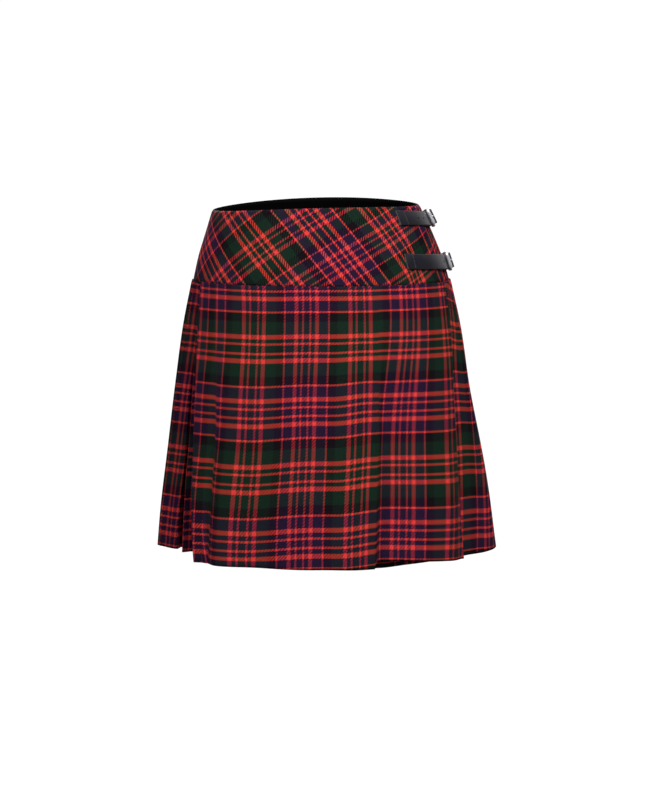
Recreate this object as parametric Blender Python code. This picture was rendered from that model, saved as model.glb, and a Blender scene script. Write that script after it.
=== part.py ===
"""A wrap-over tartan mini skirt in the filled-out shape that it has when worn.

The frame has its origin at the centre of the waist opening, +Z up and the front towards -Y, so +X is
the wearer's left. Angles run round the body in degrees from the centre front, plus towards +X.
Cloth pieces are walls skinned through plan sections of the body's own rings.
"""
import math
from collections import namedtuple

import bpy
from mathutils import Vector

# Heights
SEAM_Z = -0.0868          # lower edge of the yoke
SKIRT_TOP_Z = -0.0871     # upper edge of the cloth sewn below it
HEM_Z = -0.4040
PLEAT_HEM_Z = -0.4030
WAIST_FRONT_Z = 0.0
WAIST_BACK_Z = 0.0035
WAIST_LEFT_Z = 0.0        # the wearer's left
WAIST_RIGHT_Z = -0.0060

# Cloth, lining and leather
GAP = 0.0003
YOKE_CLOTH = 0.0016
SKIRT_CLOTH = 0.0015
LINING_CLOTH = 0.0010
STRAP_LEATHER = 0.0020
CHAPE_LEATHER = 0.0015
KEEPER_LEATHER = 0.0012
UNDER_LAYER = 0.0020      # how far the under-yoke lies inside the front yoke's outer face

# The body's rings: height, half width, half depth and sideways drift of the centre, in metres
Ring = namedtuple("Ring", "z half_width half_depth centre_x")
YOKE_RINGS = (
    Ring(0.0040, 0.1185, 0.0878, 0.0000),
    Ring(0.0000, 0.1200, 0.0890, 0.0000),
    Ring(-0.0300, 0.1318, 0.0985, 0.0025),
    Ring(-0.0600, 0.1425, 0.1070, 0.0040),
    Ring(-0.0900, 0.1505, 0.1140, 0.0055),
)
SKIRT_RINGS = (
    Ring(-0.0860, 0.1515, 0.1150, 0.0055),
    Ring(-0.1400, 0.1628, 0.1250, 0.0060),
    Ring(-0.2050, 0.1728, 0.1340, 0.0065),
    Ring(-0.2750, 0.1840, 0.1410, 0.0082),
    Ring(-0.3450, 0.1946, 0.1462, 0.0090),
    Ring(-0.4070, 0.2020, 0.1500, 0.0100),
)

# Angles where the cloth pieces begin and end
YOKE_SIDE_SEAM = -95.0
YOKE_FREE_EDGE = 69.0
UNDER_YOKE_END = -50.0
BACK_SEAM = 90.0
LINING_START = -48.0
LINING_END = 308.0
LAYER_STEP_START = 118.0   # behind the buckles the back yoke comes out to the front yoke's layer
LAYER_STEP_END = 165.0

# The over-apron's two upright edges, in degrees at the share of the drop from yoke to hem
Edge = namedtuple("Edge", "drop left right")
APRON_EDGES = (
    Edge(0.00, -66.5, 68.0),
    Edge(0.17, -61.5, 66.0),
    Edge(0.37, -57.5, 63.3),
    Edge(0.60, -54.5, 60.8),
    Edge(0.82, -51.5, 59.2),
    Edge(1.00, -48.9, 58.6),
)
APRON_RETURN = 0.016       # width folded under at the left edge

# Soft folds in the over-apron: plus depth stands out, minus depth sinks in
Fold = namedtuple("Fold", "angle_top angle_hem left_width right_width depth start")
APRON_FOLDS = (
    Fold(-45.0, -45.5, 5.0, 8.0, -0.0060, 0.20),
    Fold(-36.0, -37.0, 8.0, 10.0, 0.0040, 0.15),
    Fold(-20.0, -23.0, 9.0, 9.0, -0.0030, 0.35),
    Fold(-8.0, -8.0, 10.0, 10.0, 0.0025, 0.40),
    Fold(12.0, 9.5, 11.0, 7.5, 0.0040, 0.10),
    Fold(68.0, 59.4, 15.0, 10.0, -0.0150, 0.00),
)
DEEP_FOLD = Fold(21.0, 17.5, 5.5, 22.0, -0.0130, 0.12)
RIGHT_PANEL_LIFT = 0.0070  # the apron's hem hangs this much higher just beyond its deep fold
RIGHT_PANEL_LIFT_WIDTH = 41.0
LIFT_STEP_WIDTH = 3.0      # the hem drops back over this many degrees before the fold

# Knife pleats, from the wearer's right round the back to the wearer's left
PLEAT_COUNT = 16           # after the front pleat
FIRST_FOLD_TOP = -89.9
FIRST_FOLD_HEM = -99.3
LAST_FOLD_TOP = -268.0
LAST_FOLD_HEM = -265.0
PLEAT_UNDERLAP = 0.008
FOLD_RADIUS_TOP = 0.0016
FOLD_RADIUS_HEM = 0.0028
HANG_IN_GROWTH = 0.55      # how the hidden cloth's inset grows towards the hem

# Angle and inset at the yoke, then at the hem: first the front pleat, which hangs in beside the apron and
# has a deep open fold, then the under-apron
Tuck = namedtuple("Tuck", "angle_top inset_top angle_hem inset_hem")
FRONT_PLEAT = (
    Tuck(-58.0, 0.0085, -50.4, 0.0190),
    Tuck(-64.0, 0.0085, -66.7, 0.0415),
    Tuck(-70.0, 0.0075, -75.2, 0.0427),
    Tuck(-75.5, 0.0030, -74.1, 0.0298),
    Tuck(-76.6, 0.0042, -75.4, 0.0286),
    Tuck(-76.3, 0.0068, -79.5, 0.0325),
    Tuck(-76.0, 0.0100, -86.9, 0.0383),
    Tuck(-77.6, 0.0118, -91.3, 0.0370),
    Tuck(-79.4, 0.0100, -91.5, 0.0324),
    Tuck(-79.2, 0.0068, -87.4, 0.0296),
    Tuck(-80.4, 0.0042, -85.7, 0.0260),
    Tuck(-84.5, 0.0028, -91.7, 0.0144),
)
UNDER_APRON_TUCK = (
    Tuck(-48.0, 0.0028, -40.0, 0.0220),
    Tuck(0.0, 0.0028, 0.0, 0.0210),
    Tuck(40.0, 0.0028, 36.0, 0.0240),
    Tuck(62.0, 0.0028, 54.0, 0.0290),
    Tuck(76.0, 0.0028, 69.0, 0.0270),
    Tuck(86.5, 0.0034, 81.0, 0.0108),
    Tuck(89.0, 0.0056, 90.0, 0.0010),
    Tuck(91.5, 0.0096, 94.5, 0.0125),
    Tuck(95.0, 0.0110, 98.5, 0.0140),
)

# The under-apron's uneven hem
HemSpot = namedtuple("HemSpot", "angle z")
UNDER_APRON_HEM = (
    HemSpot(-40.0, -0.4020),
    HemSpot(0.0, -0.4055),
    HemSpot(20.0, -0.4065),
    HemSpot(31.0, -0.4047),
    HemSpot(44.0, -0.4040),
    HemSpot(69.0, -0.4045),
    HemSpot(84.0, -0.4033),
    HemSpot(91.0, -0.4002),
    HemSpot(98.5, -0.3995),
)

# Shares of the drop from yoke to hem where the walls have a section
APRON_LEVELS = (0.0, 0.10, 0.22, 0.34, 0.46, 0.58, 0.70, 0.80, 0.90, 1.0)
SKIRT_LEVELS = (0.0, 0.16, 0.37, 0.59, 0.80, 1.0)
YOKE_LEVELS = (0.0, 0.33, 0.66, 1.0)
SIDE_GAP = 0.1             # degrees left open where two yoke pieces meet

# Straps and buckles at the wearer's left hip
BUCKLE_ANGLE = 89.0
STRAP_WIDTH = 0.017
STRAP_ANGLES = {"upper": 46.4, "lower": 42.4}
STRAP_HEIGHTS = {"upper": -0.0165, "lower": -0.0665}   # at the buckles
STRAP_FALL = 0.06          # how fast the straps drop towards the back
WIRE_RADIUS = 0.0014
FRAME_FRONT = -0.0085
FRAME_HEEL = 0.0070
FRAME_FRONT_OUT = 0.0040
FRAME_HEEL_OUT = 0.0015
FRAME_CORNER = 0.0022
CHAPE_WIDTH = 0.0150
CHAPE_END = 0.0340
STRAP_TIP = 0.0330
STRAP_TIP_LENGTH = 0.009
KEEPER_START = 0.0175
KEEPER_END = 0.0230
PRONG_RADIUS = 0.0008
KEEPER_CORNER = 0.0008

# Lines along the yoke and out of it, measured from the buckle's middle
Spot = namedtuple("Spot", "along out")
STRAP_OVER_TAB = 0.0029    # height of the strap's middle where it lies on the tab
STRAP_THROUGH_FRAME = (
    Spot(-0.0045, 0.0019),
    Spot(0.0000, 0.0038),
    Spot(0.0035, 0.0057),
    Spot(0.0070, 0.0062),
    Spot(0.0100, 0.0057),
    Spot(0.0130, 0.0043),
    Spot(0.0155, 0.0030),
    Spot(0.0190, STRAP_OVER_TAB),
    Spot(0.0240, STRAP_OVER_TAB),
    Spot(0.0285, STRAP_OVER_TAB),
    Spot(STRAP_TIP, STRAP_OVER_TAB),
)
PRONG_LINE = (
    Spot(0.0030, 0.0083),
    Spot(-0.0010, 0.0079),
    Spot(-0.0050, 0.0072),
    Spot(-0.0085, 0.0065),
    Spot(-0.0103, 0.0057),
)
TAB_SHOULDER = (Spot(0.0098, 0.0035), Spot(0.0128, 0.0018))
TAB_LIE = (0.0150, 0.0200, 0.0270, CHAPE_END)

CLOTH_COLOUR = (0.20, 0.035, 0.040)
LINING_COLOUR = (0.004, 0.004, 0.005)
LEATHER_COLOUR = (0.012, 0.012, 0.014)
CHROME_COLOUR = (0.78, 0.79, 0.81)


def clear_scene():
    for item in list(bpy.data.objects):
        bpy.data.objects.remove(item, do_unlink=True)


def material(name, colour, roughness, metallic=0.0):
    made = bpy.data.materials.new(name)
    made.use_nodes = True
    shader = made.node_tree.nodes["Principled BSDF"]
    shader.inputs["Base Color"].default_value = (*colour, 1.0)
    shader.inputs["Roughness"].default_value = roughness
    shader.inputs["Metallic"].default_value = metallic
    return made


def smooth(value):
    value = min(1.0, max(0.0, value))
    return value * value * (3.0 - 2.0 * value)


def mix(first, second, share):
    return first + (second - first) * share


def row_values(rows, key):
    """Read every column of a table at key with a smooth curve through its rows."""
    keys = [row[0] for row in rows]
    sign = 1.0 if keys[-1] > keys[0] else -1.0
    key = min(max(key * sign, keys[0] * sign), keys[-1] * sign) * sign
    index = 0
    while index < len(rows) - 2 and (keys[index + 1] - key) * sign < 0.0:
        index += 1
    span = keys[index + 1] - keys[index]
    share = (key - keys[index]) / span

    def slope(at, column):
        low = max(at - 1, 0)
        high = min(at + 1, len(rows) - 1)
        return (rows[high][column] - rows[low][column]) / (keys[high] - keys[low])

    values = []
    for column in range(1, len(rows[0])):
        start = rows[index][column]
        end = rows[index + 1][column]
        lead = slope(index, column) * span
        trail = slope(index + 1, column) * span
        square = share * share
        cube = square * share
        value = start * (2 * cube - 3 * square + 1) + lead * (cube - 2 * square + share)
        values.append(value + end * (3 * square - 2 * cube) + trail * (cube - square))
    return values


def ring_point(rings, angle, z, inset=0.0):
    half_width, half_depth, centre_x = row_values(rings, z)
    turn = math.radians(angle)
    x = centre_x + (half_width - inset) * math.sin(turn)
    y = -(half_depth - inset) * math.cos(turn)
    return Vector((x, y, z))


def ring_speed(rings, angle, z):
    """Metres of ring for one degree."""
    half_width, half_depth, _ = row_values(rings, z)
    turn = math.radians(angle)
    return math.radians(math.hypot(half_width * math.cos(turn), half_depth * math.sin(turn)))


def waist_z(angle):
    """The waist edge's height, through its four named heights."""
    turn = math.radians(angle)
    mean = (WAIST_FRONT_Z + WAIST_BACK_Z + WAIST_LEFT_Z + WAIST_RIGHT_Z) / 4
    front_back = (WAIST_FRONT_Z - WAIST_BACK_Z) / 2
    left_right = (WAIST_LEFT_Z - WAIST_RIGHT_Z) / 2
    four_way = (WAIST_FRONT_Z + WAIST_BACK_Z - WAIST_LEFT_Z - WAIST_RIGHT_Z) / 4
    return mean + front_back * math.cos(turn) + left_right * math.sin(turn) + four_way * math.cos(2 * turn)


def layer(angle):
    """How far the back pieces lie inside the front yoke's outer face."""
    if angle < 0.0:
        angle += 360.0
    return UNDER_LAYER * (1.0 - smooth((angle - LAYER_STEP_START) / (LAYER_STEP_END - LAYER_STEP_START)))


def moved_out(points, distance):
    """Move a plan line sideways to its outer side, keeping corners mitred."""
    moved = []
    for index, point in enumerate(points):
        ahead = points[min(index + 1, len(points) - 1)] - point
        behind = point - points[max(index - 1, 0)]
        if ahead.length == 0.0:
            ahead = behind
        if behind.length == 0.0:
            behind = ahead
        ahead = ahead.normalized()
        behind = behind.normalized()
        along = (ahead + behind).normalized()
        normal = Vector((along.y, -along.x))
        stretch = 1.0 / max(0.5, Vector((ahead.y, -ahead.x)).dot(normal))
        moved.append(point + normal * distance * stretch)
    return moved


def finish(name, vertices, faces, surface):
    mesh = bpy.data.meshes.new(name)
    mesh.from_pydata([tuple(vertex) for vertex in vertices], [], faces)
    mesh.update()
    mesh.shade_smooth()
    mesh.set_sharp_from_angle(angle=math.radians(40.0))
    mesh.materials.append(surface)
    piece = bpy.data.objects.new(name, mesh)
    bpy.context.scene.collection.objects.link(piece)
    return piece


def wall(name, sections, thickness, surface):
    """Skin a wall of even thickness through sections.

    Each section is a line of 2-D points down the middle of the wall and a function that puts a 2-D
    point with its number into space. Sections run from the wall's top to its bottom.
    """
    vertices = []
    count = len(sections[0][0])
    for points, place in sections:
        for distance in (thickness / 2, -thickness / 2):
            for index, point in enumerate(moved_out(points, distance)):
                vertices.append(place(point, index))
    faces = []
    for level in range(len(sections) - 1):
        upper = level * 2 * count
        lower = upper + 2 * count
        for index in range(count - 1):
            faces.append((upper + index, lower + index, lower + index + 1, upper + index + 1))
            inner_upper = upper + count + index
            inner_lower = lower + count + index
            faces.append((inner_upper + 1, inner_lower + 1, inner_lower, inner_upper))
        first = (upper, upper + count, lower + count, lower)
        last = (upper + count - 1, lower + count - 1, lower + 2 * count - 1, upper + 2 * count - 1)
        faces.append(first)
        faces.append(last)
    bottom = (len(sections) - 1) * 2 * count
    for index in range(count - 1):
        faces.append((index + 1, index + count + 1, index + count, index))
        faces.append((bottom + index, bottom + count + index, bottom + count + index + 1, bottom + index + 1))
    return finish(name, vertices, faces, surface)


def tube(name, path, radius, surface, closed, sides=8):
    """A round wire along a path, as a ring or with capped ends."""
    vertices = []
    count = len(path)
    for index, point in enumerate(path):
        ahead = path[(index + 1) % count] if closed else path[min(index + 1, count - 1)]
        behind = path[index - 1] if closed else path[max(index - 1, 0)]
        along = (ahead - behind).normalized()
        side = along.cross(Vector((0.0, 0.0, 1.0)))
        if side.length < 0.3:
            side = along.cross(Vector((1.0, 0.0, 0.0)))
        side.normalize()
        up = side.cross(along)
        for step in range(sides):
            turn = 2 * math.pi * step / sides
            vertices.append(point + (side * math.cos(turn) + up * math.sin(turn)) * radius)
    faces = []
    for index in range(count if closed else count - 1):
        ring = index * sides
        after = ((index + 1) % count) * sides
        for step in range(sides):
            turn = (step + 1) % sides
            faces.append((ring + step, after + step, after + turn, ring + turn))
    if not closed:
        faces.append(tuple(range(sides)))
        faces.append(tuple(reversed(range((count - 1) * sides, count * sides))))
    return finish(name, vertices, faces, surface)


def flat(point):
    return Vector((point.x, point.y))


def spread(first, last, count):
    return [mix(first, last, index / (count - 1)) for index in range(count)]


def yoke_piece(name, first, last, count, outer_inset, thickness, surface, top_drop=0.0):
    """A band of the yoke between two angles, from the waist edge to the seam."""
    angles = spread(first, last, count)
    sections = []
    for share in YOKE_LEVELS:
        heights = [mix(waist_z(angle) - top_drop, SEAM_Z, share) for angle in angles]
        points = []
        for angle, height in zip(angles, heights):
            inset = outer_inset(angle) + thickness / 2
            points.append(flat(ring_point(YOKE_RINGS, angle, height, inset)))
        sections.append((points, lambda point, index, at=heights: Vector((point.x, point.y, at[index]))))
    return wall(name, sections, thickness, surface)


def make_yoke(cloth, lining):
    yoke_piece("yoke_over", YOKE_SIDE_SEAM, YOKE_FREE_EDGE, 48, lambda angle: 0.0, YOKE_CLOTH, cloth())
    yoke_piece("yoke_under", UNDER_YOKE_END, BACK_SEAM - SIDE_GAP, 42, lambda angle: UNDER_LAYER,
               YOKE_CLOTH, cloth())
    yoke_piece("yoke_back", BACK_SEAM + SIDE_GAP, 360.0 + YOKE_SIDE_SEAM - 2 * SIDE_GAP, 50, layer,
               YOKE_CLOTH, cloth())

    def lining_inset(angle):
        covered = UNDER_LAYER if angle < BACK_SEAM else layer(angle)
        return covered + YOKE_CLOTH + GAP

    yoke_piece("yoke_lining", LINING_START, LINING_END, 92, lining_inset, LINING_CLOTH, lining(), 0.0005)


def fold_height(angle, drop):
    """Sum of the soft folds at an angle, growing from each fold's start down to the hem."""
    total = 0.0
    for fold in (*APRON_FOLDS, DEEP_FOLD):
        centre = mix(fold.angle_top, fold.angle_hem, drop)
        away = angle - centre
        width = fold.left_width if away < 0.0 else fold.right_width
        if abs(away) < width:
            growth = smooth((drop - fold.start) / (1.0 - fold.start))
            total += fold.depth * growth * 0.5 * (1.0 + math.cos(math.pi * away / width))
    return total


def panel_lift(angle, drop):
    """Beyond its deep fold the apron hangs a little higher."""
    away = angle - mix(DEEP_FOLD.angle_top, DEEP_FOLD.angle_hem, drop)
    if away < 0.0:
        return RIGHT_PANEL_LIFT * smooth(1.0 + away / LIFT_STEP_WIDTH)
    return RIGHT_PANEL_LIFT * (1.0 - min(1.0, away / RIGHT_PANEL_LIFT_WIDTH) ** 1.5)


def turn_points(angle, inset, radius, speed, direction):
    """Three points round a fold edge, from its outer layer to the layer under it."""
    points = []
    for degrees in (40.0, 90.0, 140.0):
        turn = math.radians(degrees)
        points.append((angle + direction * radius * math.sin(turn) / speed, inset + radius * (1 - math.cos(turn))))
    return points


def skirt_section(places, z, heights=None):
    points = [flat(ring_point(SKIRT_RINGS, angle, z, inset)) for angle, inset in places]
    if heights is None:
        heights = [z] * len(places)
    return points, lambda point, index: Vector((point.x, point.y, heights[index]))


def make_apron(cloth):
    """The flat front, with its left edge folded under and its right edge free."""
    middle = SKIRT_CLOTH / 2
    sections = []
    for share in APRON_LEVELS:
        z = mix(SKIRT_TOP_Z, HEM_Z, share)
        left, right = row_values(APRON_EDGES, share)
        speed = ring_speed(SKIRT_RINGS, left, z)
        radius = mix(FOLD_RADIUS_TOP, FOLD_RADIUS_HEM, share)
        edge_inset = middle - fold_height(left, share)
        places = [(left + APRON_RETURN / speed, edge_inset + 2 * radius)]
        places.append((left + APRON_RETURN * 0.5 / speed, edge_inset + 2 * radius))
        places.append((left, edge_inset + 2 * radius))
        places.extend(reversed(turn_points(left, edge_inset, radius, speed, -1.0)))
        for angle in spread(left, right, 62):
            places.append((angle, middle - fold_height(angle, share)))
        heights = [z + share * panel_lift(angle, share) for angle, _ in places]
        sections.append(skirt_section(places, z, heights))
    return wall("apron_over", sections, SKIRT_CLOTH, cloth())


def tuck_places(rows, share, middle):
    growth = share ** HANG_IN_GROWTH
    places = []
    for row in rows:
        places.append((mix(row.angle_top, row.angle_hem, share), middle + mix(row.inset_top, row.inset_hem, growth)))
    return places


def make_pleats(cloth):
    """Knife pleats with every fold edge turned towards the back on the wearer's right."""
    middle = SKIRT_CLOTH / 2
    sections = []
    for share in SKIRT_LEVELS:
        z = mix(SKIRT_TOP_Z, PLEAT_HEM_Z, share)
        radius = mix(FOLD_RADIUS_TOP, FOLD_RADIUS_HEM, share)
        first = mix(FIRST_FOLD_TOP, FIRST_FOLD_HEM, share)
        last = mix(LAST_FOLD_TOP, LAST_FOLD_HEM, share)
        edges = spread(first, last, PLEAT_COUNT)
        places = tuck_places(FRONT_PLEAT, share, 0.0)
        for number, edge in enumerate(edges):
            speed = ring_speed(SKIRT_RINGS, edge, z)
            base = middle + layer(edge)
            start, start_inset = places[-1]
            for part in (0.35, 0.72):
                places.append((mix(start, edge, part), mix(start_inset, base, smooth(part) ** 0.8)))
            places.append((edge, base))
            places.extend(turn_points(edge, base, radius, speed, -1.0))
            places.append((edge, base + 2 * radius))
            tucked = edge + PLEAT_UNDERLAP / speed
            places.append((tucked, base + 2 * radius + 0.0002))
            if number < PLEAT_COUNT - 1:
                places.extend(turn_points(tucked, base + 2 * radius + 0.0002, radius, speed, 1.0))
                places.append((tucked, base + 4 * radius + 0.0002))
        places.reverse()
        sections.append(skirt_section(places, z))
    return wall("pleats", sections, SKIRT_CLOTH, cloth())


def make_under_apron(cloth):
    middle = SKIRT_CLOTH / 2
    sections = []
    for share in SKIRT_LEVELS:
        corners = tuck_places(UNDER_APRON_TUCK, share, middle)
        places = []
        for part in spread(0.0, len(corners) - 1.0, 45):
            number = min(int(part), len(corners) - 2)
            angle = mix(corners[number][0], corners[number + 1][0], part - number)
            places.append((angle, row_values(corners, angle)[0]))
        heights = []
        points = []
        for angle, inset in places:
            height = mix(SKIRT_TOP_Z, row_values(UNDER_APRON_HEM, angle)[0], share)
            heights.append(height)
            points.append(flat(ring_point(SKIRT_RINGS, angle, height, inset)))
        sections.append((points, lambda point, index, at=heights: Vector((point.x, point.y, at[index]))))
    return wall("apron_under", sections, SKIRT_CLOTH, cloth())


class Seat:
    """Places things on the yoke by distance along it, distance out of it and height up it."""

    def __init__(self, height, start_angle):
        self.height = height
        self.start_angle = start_angle

    def angle(self, along):
        angle = self.start_angle
        for _ in range(24):
            angle += along / 24 / ring_speed(YOKE_RINGS, angle, self.height)
        return angle

    def at(self, along, out, up):
        angle = self.angle(along)
        here = ring_point(YOKE_RINGS, angle, self.height)
        tangent = (ring_point(YOKE_RINGS, angle + 0.5, self.height)
                   - ring_point(YOKE_RINGS, angle - 0.5, self.height)).normalized()
        rise = (ring_point(YOKE_RINGS, angle, self.height + 0.004)
                - ring_point(YOKE_RINGS, angle, self.height - 0.004)).normalized()
        normal = tangent.cross(rise).normalized()
        return here + normal * out + rise * (up - STRAP_FALL * along)


def strap_line(strap_start):
    """The strap's middle line: flat on the yoke, up through the frame, then down on to the tab."""
    lift = GAP + STRAP_LEATHER / 2
    line = [Spot(along, lift) for along in spread(strap_start, FRAME_FRONT + 0.0005, 15)]
    line.extend(STRAP_THROUGH_FRAME)
    return line


def make_fastening(which, leather, chrome):
    """A strap, its wire frame and prong, the tab that holds the frame, and the keeper loop."""
    seat = Seat(STRAP_HEIGHTS[which], BUCKLE_ANGLE)
    strap_start = 0.0
    while seat.angle(strap_start) > STRAP_ANGLES[which]:
        strap_start -= 0.0005
    half = STRAP_WIDTH / 2

    def strap_place(side):
        def place(point, index):
            taper = 1.0 - 0.62 * smooth((point.x - (STRAP_TIP - STRAP_TIP_LENGTH)) / STRAP_TIP_LENGTH)
            return seat.at(point.x, point.y, side * half * taper)
        return place

    line = [Vector(pair) for pair in strap_line(strap_start)]
    wall(f"strap_{which}", [(line, strap_place(-1.0)), (line, strap_place(1.0))], STRAP_LEATHER, leather())

    def frame_out(along):
        return mix(FRAME_FRONT_OUT, FRAME_HEEL_OUT, (along - FRAME_FRONT) / (FRAME_HEEL - FRAME_FRONT))

    rail = half + 2 * GAP + WIRE_RADIUS
    corners = ((FRAME_HEEL, rail, 0.0), (FRAME_FRONT, rail, 90.0), (FRAME_FRONT, -rail, 180.0),
               (FRAME_HEEL, -rail, 270.0))
    path = []
    for along, up, start in corners:
        centre_along = along + (FRAME_CORNER if along < 0.0 else -FRAME_CORNER)
        centre_up = up - math.copysign(FRAME_CORNER, up)
        for step in (0.0, 30.0, 60.0, 90.0):
            turn = math.radians(start + step)
            spot = centre_along + FRAME_CORNER * math.cos(turn)
            path.append(seat.at(spot, frame_out(spot), centre_up + FRAME_CORNER * math.sin(turn)))
    tube(f"buckle_{which}", path, WIRE_RADIUS, chrome(), True)

    prong = [seat.at(spot.along, spot.out, 0.0) for spot in PRONG_LINE]
    tube(f"prong_{which}", prong, PRONG_RADIUS, chrome(), False)

    low = -UNDER_LAYER + GAP + CHAPE_LEATHER / 2
    around = FRAME_HEEL_OUT - low
    line = [(along, low) for along in spread(CHAPE_END, FRAME_HEEL + 0.001, 6)]
    for step in range(0, 7):
        turn = math.radians(-90.0 - 30.0 * step)
        line.append((FRAME_HEEL + around * math.cos(turn), FRAME_HEEL_OUT + around * math.sin(turn)))
    high = low + CHAPE_LEATHER + GAP
    line.extend(TAB_SHOULDER)
    line.extend([(along, high) for along in TAB_LIE])
    line = [Vector(pair) for pair in reversed(line)]
    half_tab = CHAPE_WIDTH / 2
    sections = [(line, lambda point, index: seat.at(point.x, point.y, -half_tab)),
                (line, lambda point, index: seat.at(point.x, point.y, half_tab))]
    wall(f"chape_{which}", sections, CHAPE_LEATHER, leather())

    leg = half + 2 * GAP + KEEPER_LEATHER / 2
    top = STRAP_OVER_TAB + STRAP_LEATHER / 2 + 2 * GAP + KEEPER_LEATHER / 2
    foot = -UNDER_LAYER + GAP
    line = [(-leg, foot), (-leg, top - KEEPER_CORNER), (-leg + KEEPER_CORNER, top), (0.0, top)]
    line.extend([(leg - KEEPER_CORNER, top), (leg, top - KEEPER_CORNER), (leg, foot)])
    line = [Vector(pair) for pair in line]
    sections = [(line, lambda point, index: seat.at(KEEPER_END, point.y, point.x)),
                (line, lambda point, index: seat.at(KEEPER_START, point.y, point.x))]
    wall(f"keeper_{which}", sections, KEEPER_LEATHER, leather())


def main():
    clear_scene()
    made = {"count": 0}

    def kind(name, colour, roughness, metallic=0.0):
        def new():
            made["count"] += 1
            return material(f"{name}_{made['count']}", colour, roughness, metallic)
        return new

    cloth = kind("tartan_cloth", CLOTH_COLOUR, 0.9)
    lining = kind("black_lining", LINING_COLOUR, 0.8)
    leather = kind("black_leather", LEATHER_COLOUR, 0.45)
    chrome = kind("chrome", CHROME_COLOUR, 0.12, 1.0)
    make_yoke(cloth, lining)
    make_apron(cloth)
    make_pleats(cloth)
    make_under_apron(cloth)
    for which in ("upper", "lower"):
        make_fastening(which, leather, chrome)


main()
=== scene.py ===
"""A wrap-over tartan mini skirt, filled out as it is when worn.

Angles run round the body in degrees from the centre front, plus towards the wearer's left (+X). Left and
right are as seen from the front, unless they are called the wearer's.
Every cloth piece is a thin shell laid on the form of its solid.
"""
import math
from collections import namedtuple

import bpy
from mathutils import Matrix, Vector


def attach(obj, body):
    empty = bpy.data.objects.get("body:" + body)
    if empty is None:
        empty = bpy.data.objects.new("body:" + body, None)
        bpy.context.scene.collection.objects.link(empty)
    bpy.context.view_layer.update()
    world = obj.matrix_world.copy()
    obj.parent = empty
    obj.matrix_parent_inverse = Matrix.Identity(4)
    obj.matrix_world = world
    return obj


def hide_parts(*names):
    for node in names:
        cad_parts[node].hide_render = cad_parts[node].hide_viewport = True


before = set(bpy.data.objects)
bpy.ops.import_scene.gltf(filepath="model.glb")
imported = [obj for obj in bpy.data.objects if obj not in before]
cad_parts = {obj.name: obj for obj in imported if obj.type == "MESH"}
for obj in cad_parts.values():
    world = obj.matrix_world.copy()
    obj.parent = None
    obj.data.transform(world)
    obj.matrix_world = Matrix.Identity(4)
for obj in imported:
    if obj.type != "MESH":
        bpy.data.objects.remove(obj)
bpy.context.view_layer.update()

# The camera stands 3.5 m in front, a little above the waist, and looks slightly down, as in the photo.
# Its long lens is worked out for a picture 646 pixels wide.
CAMERA_PLACE = (0.0064, -3.5, 0.18)
CAMERA_PITCH = 6.655
FOCAL_PIXELS = 3016.0
PICTURE_WIDTH = 646
SENSOR_WIDTH = 36.0

camera_data = bpy.data.cameras.new("camera")
camera_data.sensor_fit = "HORIZONTAL"
camera_data.sensor_width = SENSOR_WIDTH
camera_data.lens = FOCAL_PIXELS / PICTURE_WIDTH * SENSOR_WIDTH
camera_data.clip_end = 60.0
camera = bpy.data.objects.new("camera", camera_data)
camera.location = CAMERA_PLACE
camera.rotation_euler = (math.radians(90.0 - CAMERA_PITCH), 0.0, 0.0)
bpy.context.scene.collection.objects.link(camera)
bpy.context.scene.camera = camera

# A white studio: an even pale surround, one big soft light from the front right and above, a weaker one
# from the left, and one behind for the back. Colours are shown plainly, as in a picture for a shop.
bpy.context.scene.view_settings.view_transform = "Standard"
WHITE = (1.0, 1.0, 1.0, 1.0)
SURROUND_LIGHT = 0.12
BACKDROP_LIGHT = 1.05
BACK_WALL = (0.30, 0.75, 0.10, 1.0)  # where it starts and ends, and how bright it is there
CEILING = (0.35, 0.90, 0.0, 0.55)


def wire(tree, node, inputs):
    """Give a node its inputs, each a value or another node's socket to link from, and return its outputs."""
    for slot, value in inputs.items():
        if isinstance(value, bpy.types.NodeSocket):
            tree.links.new(value, node.inputs[slot])
        else:
            node.inputs[slot].default_value = value
    return node.outputs


def add_node(tree, kind, inputs):
    return wire(tree, tree.nodes.new(kind), inputs)


def calculate(tree, operation, *operands):
    """A Math node; each operand is a number or another node's socket."""
    node = tree.nodes.new("ShaderNodeMath")
    node.operation = operation
    return wire(tree, node, dict(enumerate(operands)))[0]


def choose_shader(tree, share, first, second):
    return add_node(tree, "ShaderNodeMixShader", {"Fac": share, 1: first, 2: second})["Shader"]


def map_range(tree, value, start, end, low, high):
    """A value that runs from low to high while the given one runs from start to end."""
    limits = {"From Min": start, "From Max": end, "To Min": low, "To Max": high}
    return add_node(tree, "ShaderNodeMapRange", {"Value": value, **limits})["Result"]


def new_material(name):
    """A material, its nodes and its Principled shader."""
    material = bpy.data.materials.new(name)
    material.use_nodes = True
    return material, material.node_tree, material.node_tree.nodes["Principled BSDF"]


def new_piece(name, vertices, faces, material):
    mesh = bpy.data.meshes.new(name)
    mesh.from_pydata([tuple(vertex) for vertex in vertices], [], faces)
    mesh.update()
    mesh.materials.append(material)
    piece = bpy.data.objects.new(name, mesh)
    bpy.context.scene.collection.objects.link(piece)
    return piece


world = bpy.data.worlds.new("white studio")
world.use_nodes = True
bpy.context.scene.world = world
studio = world.node_tree
surround = wire(studio, studio.nodes["Background"], {"Color": WHITE, "Strength": SURROUND_LIGHT})[0]
backdrop = add_node(studio, "ShaderNodeBackground", {"Color": WHITE, "Strength": BACKDROP_LIGHT})[0]
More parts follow.
